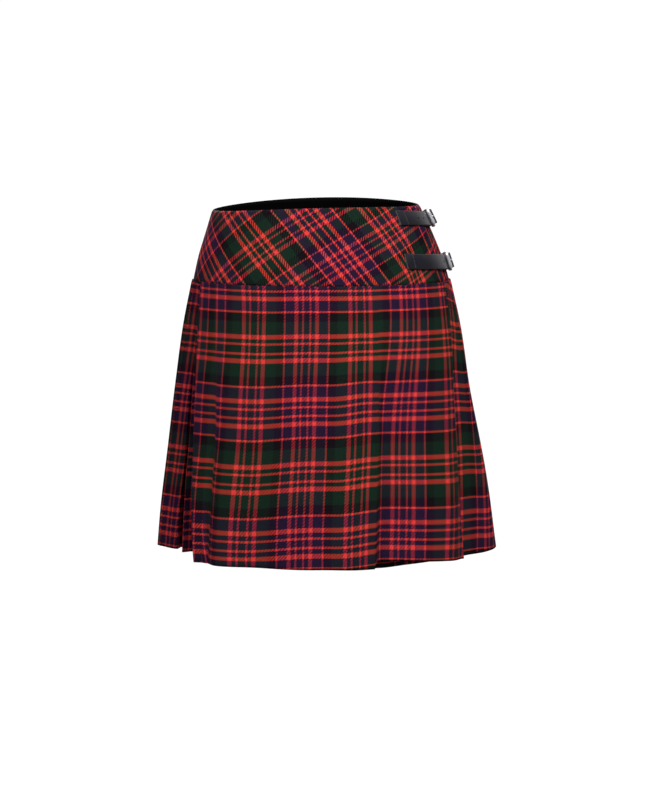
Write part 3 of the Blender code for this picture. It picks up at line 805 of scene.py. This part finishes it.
apron_levels = []
for drop in [*spread(0.0, 0.012, 6)[:-1], *spread(0.012, 1.0, 108)]:
    z = mix(SKIRT_TOP, HEM, drop)
    left, right = row_values(APRON_EDGES, drop)
    speed = ring_speed(SKIRT_RINGS, left, z)
    radius = mix(FOLD_RADIUS_TOP, FOLD_RADIUS_HEM, drop)
    edge_inset = -fold_height(left, drop)
    spots = []
    for share in (1.0, 0.75, 0.5, 0.25, 0.0):
        spots.append((left + APRON_RETURN * share / speed, edge_inset + 2 * radius))
    spots.extend(reversed(fold_turn(left, edge_inset, radius, speed, -1.0)))
    turned_spots = len(spots)
    for angle in spread(left, right, 230):
        ripple = unevenness(angle, z, APRON_RIPPLE) * smooth(drop * RIPPLE_GROWTH)
        ripple *= smooth((angle - left) / APRON_RIPPLE_DEGREES)
        rounding = rounded_in(min((right - angle) / EDGE_ROUND_DEGREES, (1.0 - drop) / HEM_ROUND_DROP))
        rounding = EDGE_ROUNDING * rounding + seam_dip(drop)
        spots.append((angle, rounding - fold_height(angle, drop) - ripple))
    row = []
    laid_out = []
    for angle, inset in spots:
        lifted = Vector((0.0, 0.0, drop * panel_lift(angle, drop)))
        row.append(ring_point(SKIRT_RINGS, angle, z, inset) + lifted)
        sharpened = fold_height(angle, drop) - fold_height(angle, drop, SOFT_FOLD)
        laid_out.append(ring_point(SKIRT_RINGS, angle, z, inset + sharpened))
    pivot = row_values(GREEN_PIVOT_LINE, drop)[0]
    lengths = lengths_along(laid_out)
    face_angles = [angle for angle, _ in spots[turned_spots:]]
    pivot_length = length_at(face_angles, lengths[turned_spots:], pivot)
    ease = 1.0 + TOP_EASE * (1.0 - smooth(drop / 0.5))
    place = []
    threads = []
    for length, (angle, _) in zip(lengths, spots):
        across, along = grain_slip(angle, drop)
        threads.append((length - pivot_length, weft_place(drop)))
        place.append(((length - pivot_length) * ease + across, weft_place(drop) + along))
    apron_levels.append((row, place, threads))
front_apron = cloth_shell("front_apron_cloth", apron_levels, SKIRT_THICK, tartan("tartan front apron"))
cloth_for(front_apron, "apron_over")

# Knife pleats: one length of cloth from under the apron's left edge, round the wearer's right side and the
# back to the other hip, pressed into flat folds that all turn the same way and sewn flat under the yoke.
PLEAT_HEM = -0.4030
PLEAT_COUNT = 16  # after the front pleat
FIRST_FOLD_TOP = -89.9
FIRST_FOLD_HEM = -99.3
LAST_FOLD_TOP = -268.0
LAST_FOLD_HEM = -265.0
PLEAT_UNDERLAP = 0.008
HANG_IN_GROWTH = 0.55
PLEAT_FACE_POWER = 0.8  # how soon a pleat's face lies down on the next one
PLEAT_RIPPLE_GROWTH = 4.0
WALL_HALF = 0.00075  # the tables give the middle of the solid's wall
Tuck = namedtuple("Tuck", "angle_top inset_top angle_hem inset_hem")
FRONT_PLEAT = (  # it hangs in beside the apron and has a deep open fold
    Tuck(-58.0, 0.0085, -50.4, 0.0190),
    Tuck(-64.0, 0.0085, -66.7, 0.0415),
    Tuck(-70.0, 0.0075, -75.2, 0.0427),
    Tuck(-75.5, 0.0030, -74.1, 0.0298),
    Tuck(-76.6, 0.0042, -75.4, 0.0286),
    Tuck(-76.3, 0.0068, -79.5, 0.0325),
    Tuck(-76.0, 0.0100, -86.9, 0.0383),
    Tuck(-77.6, 0.0118, -91.3, 0.0370),
    Tuck(-79.4, 0.0100, -91.5, 0.0324),
    Tuck(-79.2, 0.0068, -87.4, 0.0296),
    Tuck(-80.4, 0.0042, -85.7, 0.0260),
    Tuck(-84.5, 0.0028, -91.7, 0.0144),
)
FRONT_PLEAT_CREST = 3  # the row of the front pleat's own edge
SPOTS_PER_ROW = 6
FRONT_PLEAT_WARP = 0.062  # the cloth's place at the front pleat's edge, then at the first fold
FIRST_FOLD_WARP = 0.030
PLEAT_END_SPOTS = 9  # spots past a fold's edge that still belong to its pleat
LAYER_SLACK = 0.0002


def soft_line(spots, per_span=4):
    """A finer line on a smooth curve through the spots."""
    padded = [spots[0], *spots, spots[-1]]
    fine = []
    for before, start, end, after in zip(padded, padded[1:], padded[2:], padded[3:]):
        for step in range(per_span):
            point = []
            for axis in (0, 1):
                lead = (end[axis] - before[axis]) / 2
                trail = (after[axis] - start[axis]) / 2
                point.append(curve(start[axis], lead, end[axis], trail, step / per_span))
            fine.append(tuple(point))
    fine.append(tuple(spots[-1]))
    return fine


def tuck_places(rows, share):
    growth = share ** HANG_IN_GROWTH
    places = []
    for row in rows:
        places.append((mix(row.angle_top, row.angle_hem, share), mix(row.inset_top, row.inset_hem, growth)))
    return places


def pleat_spots(share, z):
    """The pleated line at one height: angle and inset of the outer face, and where each fold's edge comes."""
    radius = mix(FOLD_RADIUS_TOP, FOLD_RADIUS_HEM, share)
    first = mix(FIRST_FOLD_TOP, FIRST_FOLD_HEM, share)
    last = mix(LAST_FOLD_TOP, LAST_FOLD_HEM, share)
    corners = [(angle, inset - WALL_HALF) for angle, inset in tuck_places(FRONT_PLEAT, share)]
    spots = soft_line(corners, SPOTS_PER_ROW)
    edges_at = [FRONT_PLEAT_CREST * SPOTS_PER_ROW]
    for number, edge in enumerate(spread(first, last, PLEAT_COUNT)):
        speed = ring_speed(SKIRT_RINGS, edge, z)
        base = layer(edge)
        start, start_inset = spots[-1]
        for part in spread(0.0, 1.0, 12)[1:-1]:
            spots.append((mix(start, edge, part), mix(start_inset, base, smooth(part) ** PLEAT_FACE_POWER)))
        edges_at.append(len(spots))
        spots.append((edge, base))
        spots.extend(fold_turn(edge, base, radius, speed, -1.0))
        under = base + 2 * radius
        tucked = edge + PLEAT_UNDERLAP / speed
        spots.append((edge, under))
        spots.append((mix(edge, tucked, 0.5), under + LAYER_SLACK / 2))
        spots.append((tucked, under + LAYER_SLACK))
        if number < PLEAT_COUNT - 1:
            spots.extend(fold_turn(tucked, under + LAYER_SLACK, radius, speed, 1.0))
            spots.append((tucked, under + LAYER_SLACK + 2 * radius))
    return spots, edges_at


# Each pleat's stripes run along its own fold edge, and the sett goes on from pleat to pleat half way down.
MIDDLE_Z = mix(SKIRT_TOP, PLEAT_HEM, 0.5)
middle_spots, middle_edges = pleat_spots(0.5, MIDDLE_Z)
fold_warps = [FRONT_PLEAT_WARP, FIRST_FOLD_WARP]
for before, edge in zip(middle_edges[1:], middle_edges[2:]):
    gap = (ring_point(SKIRT_RINGS, middle_spots[edge][0], MIDDLE_Z)
           - ring_point(SKIRT_RINGS, middle_spots[before][0], MIDDLE_Z)).length
    fold_warps.append(fold_warps[-1] - gap)

pleat_levels = []
for share in spread(0.0, 1.0, 70):
    z = mix(SKIRT_TOP, PLEAT_HEM, share)
    spots, edges_at = pleat_spots(share, z)
    row = []
    for angle, inset in spots:
        ripple = unevenness(angle, z, SKIRT_RIPPLE) * smooth(share * PLEAT_RIPPLE_GROWTH) - seam_dip(share)
        row.append(ring_point(SKIRT_RINGS, angle, z, inset - ripple))
    lengths = lengths_along(row)
    place = []
    for index, length in enumerate(lengths):
        pleat = sum(1 for edge in edges_at[:-1] if index > edge + PLEAT_END_SPOTS)
        place.append((fold_warps[pleat] + lengths[edges_at[pleat]] - length, weft_place(share)))
    pleat_levels.append((row, place))
pleats = cloth_shell("pleated_cloth", pleat_levels, SKIRT_THICK, tartan("tartan pleats"), back_first=True)
cloth_for(pleats, "pleats")

# Under-apron: the wrap's inner front. It shows as a broad face at the right hip beside the apron's free
# edge and as a narrow strip under the apron's hem, and it tucks behind the last pleat.
UNDER_APRON_TUCK = (
    Tuck(-48.0, 0.0028, -40.0, 0.0220),
    Tuck(0.0, 0.0028, 0.0, 0.0210),
    Tuck(40.0, 0.0028, 36.0, 0.0240),
    Tuck(62.0, 0.0028, 54.0, 0.0290),
    Tuck(76.0, 0.0028, 69.0, 0.0270),
    Tuck(86.5, 0.0034, 81.0, 0.0108),
    Tuck(89.0, 0.0056, 90.0, 0.0010),
    Tuck(91.5, 0.0096, 94.5, 0.0125),
    Tuck(95.0, 0.0110, 98.5, 0.0140),
)
HemSpot = namedtuple("HemSpot", "angle z")
UNDER_APRON_HEM = (
    HemSpot(-40.0, -0.4020),
    HemSpot(0.0, -0.4055),
    HemSpot(20.0, -0.4065),
    HemSpot(31.0, -0.4047),
    HemSpot(44.0, -0.4040),
    HemSpot(69.0, -0.4045),
    HemSpot(84.0, -0.4033),
    HemSpot(91.0, -0.4002),
    HemSpot(98.5, -0.3995),
)
UNDER_STRIPE = 0.0376  # a thin red stripe of the warp, which runs down the broad face
UNDER_STRIPE_TOP = 95.6  # its angle at the yoke and at the hem
UNDER_STRIPE_HEM = 75.0
UNDER_LIFT = 0.0034  # the weft runs higher beside the apron's edge, and more so near the yoke
UNDER_LIFT_SIDE = Ramp(87.0, -12.0)
YOKE_LIFT = 0.8
YOKE_LIFT_SIDE = 0.6
YOKE_LIFT_DROP = 0.45

under_levels = []
for share in spread(0.0, 1.0, 60):
    corners = tuck_places(UNDER_APRON_TUCK, share)
    row = []
    angles = []
    for part in spread(0.0, len(corners) - 1.0, 150):
        number = min(int(part), len(corners) - 2)
        angle = mix(corners[number][0], corners[number + 1][0], part - number)
        z = mix(SKIRT_TOP, row_values(UNDER_APRON_HEM, angle)[0], share)
        ripple = unevenness(angle, z, SKIRT_RIPPLE) * smooth(share * RIPPLE_GROWTH) - seam_dip(share)
        row.append(ring_point(SKIRT_RINGS, angle, z, row_values(corners, angle)[0] - ripple))
        angles.append(angle)
    lengths = lengths_along(row)
    stripe_angle = mix(UNDER_STRIPE_TOP, UNDER_STRIPE_HEM, share)
    stripe_length = length_at(angles, lengths, min(stripe_angle, angles[-1] - 0.01))
    beyond = max(0.0, stripe_angle - angles[-1]) * ring_speed(SKIRT_RINGS, 90.0, z)
    near_yoke = 1.0 - smooth(share / YOKE_LIFT_DROP)
    place = []
    for length, angle in zip(lengths, angles):
        side = (1.0 + YOKE_LIFT_SIDE * near_yoke) * up_ramp(angle, UNDER_LIFT_SIDE)
        lifted = UNDER_LIFT * (side + YOKE_LIFT * near_yoke)
        place.append((UNDER_STRIPE + length - stripe_length - beyond, weft_place(share) + lifted))
    under_levels.append((row, place))
under_apron = cloth_shell("under_apron_cloth", under_levels, SKIRT_THICK, tartan("tartan under apron"))
cloth_for(under_apron, "apron_under")

# Straps: black leather, 18 mm wide, sewn down at their front end, with a raw cut edge there and punched
# holes, each run through its buckle's frame and on over the tab.
BUCKLE_ANGLE = 89.0
LARGEST_ANGLE = 140.0
HALVINGS = 30
TANGENT_DEGREES = 0.5  # how far each way the yoke's slope is measured, round and up
TANGENT_RISE = 0.004
STRAP_WIDTH = 0.017
STRAP_SPREAD = 0.0005  # each edge of the used leather, pressed out towards the frame
STRAP_THICK = 0.0019
STRAP_SOLID = 0.0020
LEATHER_RELIEF = (0.25, 0.00012)
LEATHER_ROUGHNESS = 0.25
PORE_SCALE = 1500.0
WEAR_SCALE = 90.0
WORN_SHARE = 0.35
WEAR_HEIGHT = 0.8
SHARP_DEGREES = 50.0
STRAP_ANGLES = {"upper": 46.4, "lower": 42.4}
STRAP_HEIGHTS = {"upper": -0.0165, "lower": -0.0665}
STRAP_FALL = 0.06  # how fast the straps drop towards the back
FRAME_FRONT = -0.0085
FRAME_HEEL = 0.0070
STRAP_TIP = 0.0330
STRAP_TIP_LENGTH = 0.009
TIP_NARROWING = 0.62
BAND_ROUNDING = 0.45  # of a band's thickness
HOLE_RADIUS = 0.0011
HOLE_ENDS = (-0.0006, 0.00008)
HOLE_ANGLES = {"upper": (64.0, 71.0), "lower": (76.0, 81.5)}
SEWN_END = 0.0105  # the strap is sewn down this far from its cut end
STITCHES = 5
STITCH_ROW_HALF = 0.38  # of the strap's width
STITCH_LENGTH = 0.0022
STITCH_RADIUS = 0.00030
STITCH_PROUD = 0.6  # of its radius, in the middle
STITCH_SINK = 1.4  # of its radius, at the ends
Spot = namedtuple("Spot", "along out")
STRAP_OVER_TAB = 0.0029
STRAP_THROUGH_FRAME = (
    Spot(-0.0045, 0.0019),
    Spot(0.0000, 0.0043),
    Spot(0.0035, 0.0069),
    Spot(0.0070, 0.0075),
    Spot(0.0100, 0.0066),
    Spot(0.0130, 0.0046),
    Spot(0.0155, 0.0030),
    Spot(0.0190, STRAP_OVER_TAB),
    Spot(0.0240, STRAP_OVER_TAB),
    Spot(0.0285, STRAP_OVER_TAB),
    Spot(STRAP_TIP, STRAP_OVER_TAB),
)


class Seat:
    """Places things on the yoke by distance along it, distance out of it and height up it."""

    def __init__(self, height):
        self.height = height
        self.arcs = arc_table(YOKE_RINGS, height, 1.0)
        self.start = arc_at(self.arcs, BUCKLE_ANGLE)

    def angle(self, along_yoke):
        low = 0.0
        high = LARGEST_ANGLE
        for _ in range(HALVINGS):
            middle = (low + high) / 2
            if arc_at(self.arcs, middle) - self.start < along_yoke:
                low = middle
            else:
                high = middle
        return low

    def at(self, along_yoke, out, up):
        angle = self.angle(along_yoke)
        here = ring_point(YOKE_RINGS, angle, self.height)
        ahead = ring_point(YOKE_RINGS, angle + TANGENT_DEGREES, self.height)
        behind = ring_point(YOKE_RINGS, angle - TANGENT_DEGREES, self.height)
        above = ring_point(YOKE_RINGS, angle, self.height + TANGENT_RISE)
        below = ring_point(YOKE_RINGS, angle, self.height - TANGENT_RISE)
        tangent = (ahead - behind).normalized()
        rise = (above - below).normalized()
        return here + tangent.cross(rise).normalized() * out + rise * (up - STRAP_FALL * along_yoke)


grain, dyed, grain_out = new_group("leather grain", [
    ("Leather", "NodeSocketColor", WHITE),
    ("Worn", "NodeSocketColor", WHITE),
])
grain_place = add_node(grain, "ShaderNodeTexCoord", {})["Object"]
pores = add_node(grain, "ShaderNodeTexVoronoi", {"Vector": grain_place, "Scale": PORE_SCALE})["Distance"]
wear = noise(grain, WEAR_SCALE, 5.0, grain_place)
worn_share = calculate(grain, "MULTIPLY", wear, WORN_SHARE)
wire(grain, grain_out, {
    "Color": mix_colours(grain, worn_share, dyed["Leather"], dyed["Worn"]),
    "Height": calculate(grain, "MULTIPLY_ADD", wear, WEAR_HEIGHT, pores),
    "Roughness": calculate(grain, "MULTIPLY_ADD", wear, ROUGHNESS_SPREAD, LEATHER_ROUGHNESS),
})


def leather(name, colour, worn):
    material, tree, shader = new_material(name)
    wire(tree, shader, {"Specular IOR Level": 0.55})
    finish_from(tree, shader, grain, {"Leather": (*colour, 1.0), "Worn": (*worn, 1.0)}, LEATHER_RELIEF)
    return material


strap_leather = leather("black strap leather", (0.0090, 0.0085, 0.0140), (0.026, 0.025, 0.038))
cut_leather = leather("cut edge of the leather", (0.13, 0.13, 0.14), (0.20, 0.20, 0.21))


def smooth_piece(name, vertices, faces, material):
    """A piece of leather, wire or thread, shaded smooth but for its sharp corners."""
    piece = new_piece(name, vertices, faces, material)
    piece.data.shade_smooth()
    piece.data.set_sharp_from_angle(angle=math.radians(SHARP_DEGREES))
    return piece


def leather_band(name, line, widths, thickness, place, material):
    """Sweep a flat band with rounded edges through the line; one half width for each point."""
    rounding = thickness * BAND_ROUNDING
    vertices = []
    around = []
    for up_side, out_side in ((1, 1), (-1, 1), (-1, -1), (1, -1)):
        for turn in (0, 45, 90) if up_side == out_side else (90, 45, 0):
            swing = math.radians(turn)
            around.append((up_side, out_side, math.cos(swing), math.sin(swing)))
    count = len(around)
    for index, (spot, half) in enumerate(zip(line, widths)):
        ahead = line[min(index + 1, len(line) - 1)]
        behind = line[max(index - 1, 0)]
        slope = Vector((ahead[0] - behind[0], ahead[1] - behind[1])).normalized()
        for up_side, out_side, cosine, sine in around:
            up = up_side * (half - rounding + rounding * cosine)
            off = out_side * (thickness / 2 - rounding + rounding * sine)
            vertices.append(place(spot[0] - slope.y * off, spot[1] + slope.x * off, up))
    faces = []
    for level in range(len(line) - 1):
        for step in range(count):
            corner = level * count + step
            turned = level * count + (step + 1) % count
            faces.append((corner, turned, turned + count, corner + count))
    faces.append(tuple(reversed(range(count))))
    faces.append(tuple(range((len(line) - 1) * count, len(line) * count)))
    return smooth_piece(name, vertices, faces, material)


def rod(name, paths, radii, material, closed=False, sides=14):
    """Round wires or threads along paths of points, all in one piece; radii is one size, or one a point."""
    vertices = []
    faces = []
    for path in paths:
        base = len(vertices)
        count = len(path)
        for index, point in enumerate(path):
            ahead = path[(index + 1) % count] if closed else path[min(index + 1, count - 1)]
            behind = path[index - 1] if closed else path[max(index - 1, 0)]
            direction = (ahead - behind).normalized()
            radius = radii[index] if isinstance(radii, (list, tuple)) else radii
            side = direction.cross(Vector((0.0, 0.0, 1.0)))
            if side.length < 0.3:
                side = direction.cross(Vector((1.0, 0.0, 0.0)))
            side.normalize()
            up = side.cross(direction)
            for step in range(sides):
                turn = 2 * math.pi * step / sides
                vertices.append(point + (side * math.cos(turn) + up * math.sin(turn)) * radius)
        for index in range(count if closed else count - 1):
            ring = base + index * sides
            after = base + ((index + 1) % count) * sides
            for step in range(sides):
                turned = (step + 1) % sides
                faces.append((ring + step, after + step, after + turned, ring + turned))
        if not closed:
            faces.append(tuple(range(base, base + sides)))
            faces.append(tuple(reversed(range(base + (count - 1) * sides, base + count * sides))))
    return smooth_piece(name, vertices, faces, material)


thread_grey = fine_grain("dark sewing thread", (0.030, 0.030, 0.034), (0.110, 0.110, 0.120), scale=2500.0,
                         roughness=0.6)
# Near black: the painted shade that stands in for the inside of each punched hole.
painted_hole_shade = fine_grain("painted shade of a punched hole", (0.0010, 0.0010, 0.0012), (0.0040, 0.0038, 0.0042),
                       scale=1500.0, roughness=0.9)

seats = {which: Seat(height) for which, height in STRAP_HEIGHTS.items()}
for which, seat in seats.items():
    strap_start = arc_at(seat.arcs, STRAP_ANGLES[which]) - seat.start
    lift = CLOTH_GAP + STRAP_SOLID / 2
    flat_part = [(along_yoke, lift) for along_yoke in spread(strap_start, FRAME_FRONT + 0.0005, 9)]
    line = soft_line([*flat_part, *STRAP_THROUGH_FRAME])
    widths = []
    for spot in line:
        tip = 1.0 - TIP_NARROWING * smooth((spot[0] - (STRAP_TIP - STRAP_TIP_LENGTH)) / STRAP_TIP_LENGTH)
        widths.append((STRAP_WIDTH / 2 + STRAP_SPREAD) * tip)
    strap = leather_band(f"leather_strap_{which}", line, widths, STRAP_THICK, seat.at, strap_leather)
    strap.data.materials.append(cut_leather)
    strap.data.polygons[len(strap.data.polygons) - 2].material_index = 1
    stand_for(strap, f"strap_{which}")
    face = lift + STRAP_THICK / 2
    stitches = []
    for up in spread(-STITCH_ROW_HALF * STRAP_WIDTH, STITCH_ROW_HALF * STRAP_WIDTH, STITCHES):
        stitch = []
        for step in spread(-1.0, 1.0, 7):
            proud = STITCH_PROUD * STITCH_RADIUS - STITCH_SINK * STITCH_RADIUS * step ** 4
            stitch.append(seat.at(strap_start + SEWN_END, face + proud, up + step * STITCH_LENGTH / 2))
        stitches.append(stitch)
    stitching = rod(f"strap_stitching_{which}", stitches, STITCH_RADIUS, thread_grey, sides=8)
    # Each punched hole is a near-black disc set a hair proud of the strap's face: painted shade standing in
    # for the dark inside of the hole, since the strap is not cut through.
    holes = []
    for angle in HOLE_ANGLES[which]:
        along_yoke = arc_at(seat.arcs, angle) - seat.start
        holes.append([seat.at(along_yoke, face + deep, 0.0) for deep in HOLE_ENDS])
    punched = rod(f"strap_painted_hole_shade_{which}", holes, HOLE_RADIUS, painted_hole_shade, sides=20)
    for piece in (stitching, punched):
        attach(piece, "root")

# Buckles: a bright frame of round wire with a broad roller over its front bar, under which the strap runs,
# and a thin prong that rests on the roller. Both are the same.
WIRE_RADIUS = 0.0013
FRAME_FRONT_OUT = 0.0042
FRAME_HEEL_OUT = 0.0015
FRAME_CORNER = 0.0022
ROLLER_RADIUS = 0.0021
ROLLER_OUT = 0.0046
ROLLER_SHARES = (-1.0, -0.98, -0.94, -0.88, -0.5, 0.0, 0.5, 0.88, 0.94, 0.98, 1.0)
ROLLER_NARROWING = 0.35
ROLLER_END = Ramp(0.86, 0.14)
PRONG_RADIUS = 0.0007
SCUFF_SCALE = 350.0
CHROME_ROUGHNESS = (0.26, 0.34)
PRONG_LINE = (
    Spot(0.0025, 0.0062),
    Spot(-0.0010, 0.0071),
    Spot(-0.0050, 0.0074),
    Spot(-0.0085, 0.0073),
    Spot(-0.0102, 0.0061),
)

chrome, chrome_nodes, chrome_shader = new_material("bright plated metal")
scuffs = noise(chrome_nodes, SCUFF_SCALE, 3.0)
wire(chrome_nodes, chrome_shader, {
    "Base Color": two_tones(chrome_nodes, scuffs, (0.76, 0.76, 0.80), (0.82, 0.82, 0.86)),
    "Roughness": map_range(chrome_nodes, scuffs, 0.0, 1.0, *CHROME_ROUGHNESS),
    "Metallic": 0.5,
})

for which, seat in seats.items():
    rail = STRAP_WIDTH / 2 + 2 * CLOTH_GAP + WIRE_RADIUS
    path = []
    for along_yoke, up, start in ((FRAME_HEEL, rail, 0.0), (FRAME_FRONT, rail, 90.0),
                                  (FRAME_FRONT, -rail, 180.0), (FRAME_HEEL, -rail, 270.0)):
        centre_along = along_yoke + (FRAME_CORNER if along_yoke < 0.0 else -FRAME_CORNER)
        centre_up = up - math.copysign(FRAME_CORNER, up)
        for step in spread(0.0, 90.0, 7):
            turn = math.radians(start + step)
            spot = centre_along + FRAME_CORNER * math.cos(turn)
            out = mix(FRAME_FRONT_OUT, FRAME_HEEL_OUT, (spot - FRAME_FRONT) / (FRAME_HEEL - FRAME_FRONT))
            path.append(seat.at(spot, out, centre_up + FRAME_CORNER * math.sin(turn)))
    buckle = rod(f"buckle_wire_{which}", [path], WIRE_RADIUS, chrome, closed=True)
    stand_for(buckle, f"buckle_{which}")
    ends = rail - WIRE_RADIUS
    roller_path = []
    roller_radii = []
    for share in ROLLER_SHARES:
        roller_path.append(seat.at(FRAME_FRONT, ROLLER_OUT, share * ends))
        roller_radii.append(ROLLER_RADIUS * (1.0 - ROLLER_NARROWING * up_ramp(abs(share), ROLLER_END)))
    roller = rod(f"buckle_roller_{which}", [roller_path], roller_radii, chrome, sides=24)
    stand_for(roller, f"buckle_{which}")
    prong_path = [seat.at(spot[0], spot[1], 0.0) for spot in soft_line(PRONG_LINE)]
    prong = rod(f"prong_wire_{which}", [prong_path], PRONG_RADIUS, chrome)
    stand_for(prong, f"prong_{which}")

# Tabs and loops: each tab of thinner leather is folded round its frame's heel and sewn to the yoke, and a
# narrow loop of leather holds the strap's end down on it.
TAB_THICK = 0.0014
TAB_WIDTH = 0.0150
TAB_END = 0.0340
TAB_SOLID = 0.0015
TAB_SHOULDER = (Spot(0.0098, 0.0035), Spot(0.0128, 0.0018))
TAB_LIE = (0.0150, 0.0200, 0.0270, TAB_END)
LOOP_START = 0.0175
LOOP_END = 0.0230
LOOP_THICK = 0.0011
LOOP_SOLID = 0.0012
LOOP_CORNER = 0.0008

for which, seat in seats.items():
    low = -UNDER_LAYER + CLOTH_GAP + TAB_SOLID / 2
    around = FRAME_HEEL_OUT - low
    line = [(along_yoke, low) for along_yoke in spread(TAB_END, FRAME_HEEL + 0.001, 6)]
    for step in range(0, 7):
        turn = math.radians(-90.0 - 30.0 * step)
        line.append((FRAME_HEEL + around * math.cos(turn), FRAME_HEEL_OUT + around * math.sin(turn)))
    high = low + TAB_SOLID + CLOTH_GAP
    line.extend(TAB_SHOULDER)
    line.extend([(along_yoke, high) for along_yoke in TAB_LIE])
    fine = soft_line(line, 2)
    tab = leather_band(f"leather_tab_{which}", fine, [TAB_WIDTH / 2] * len(fine), TAB_THICK, seat.at,
                       strap_leather)
    stand_for(tab, f"chape_{which}")
    leg = STRAP_WIDTH / 2 + 2 * CLOTH_GAP + LOOP_SOLID / 2
    top = STRAP_OVER_TAB + STRAP_SOLID / 2 + 2 * CLOTH_GAP + LOOP_SOLID / 2
    foot = -UNDER_LAYER + CLOTH_GAP
    line = [(-leg, foot), (-leg, top - LOOP_CORNER), (-leg + LOOP_CORNER, top), (0.0, top)]
    line.extend([(leg - LOOP_CORNER, top), (leg, top - LOOP_CORNER), (leg, foot)])
    middle = (LOOP_START + LOOP_END) / 2
    loop = leather_band(f"leather_loop_{which}", line, [(LOOP_END - LOOP_START) / 2] * len(line), LOOP_THICK,
                        lambda up, out, side, seat=seat: seat.at(middle - side, out, up), strap_leather)
    stand_for(loop, f"keeper_{which}")
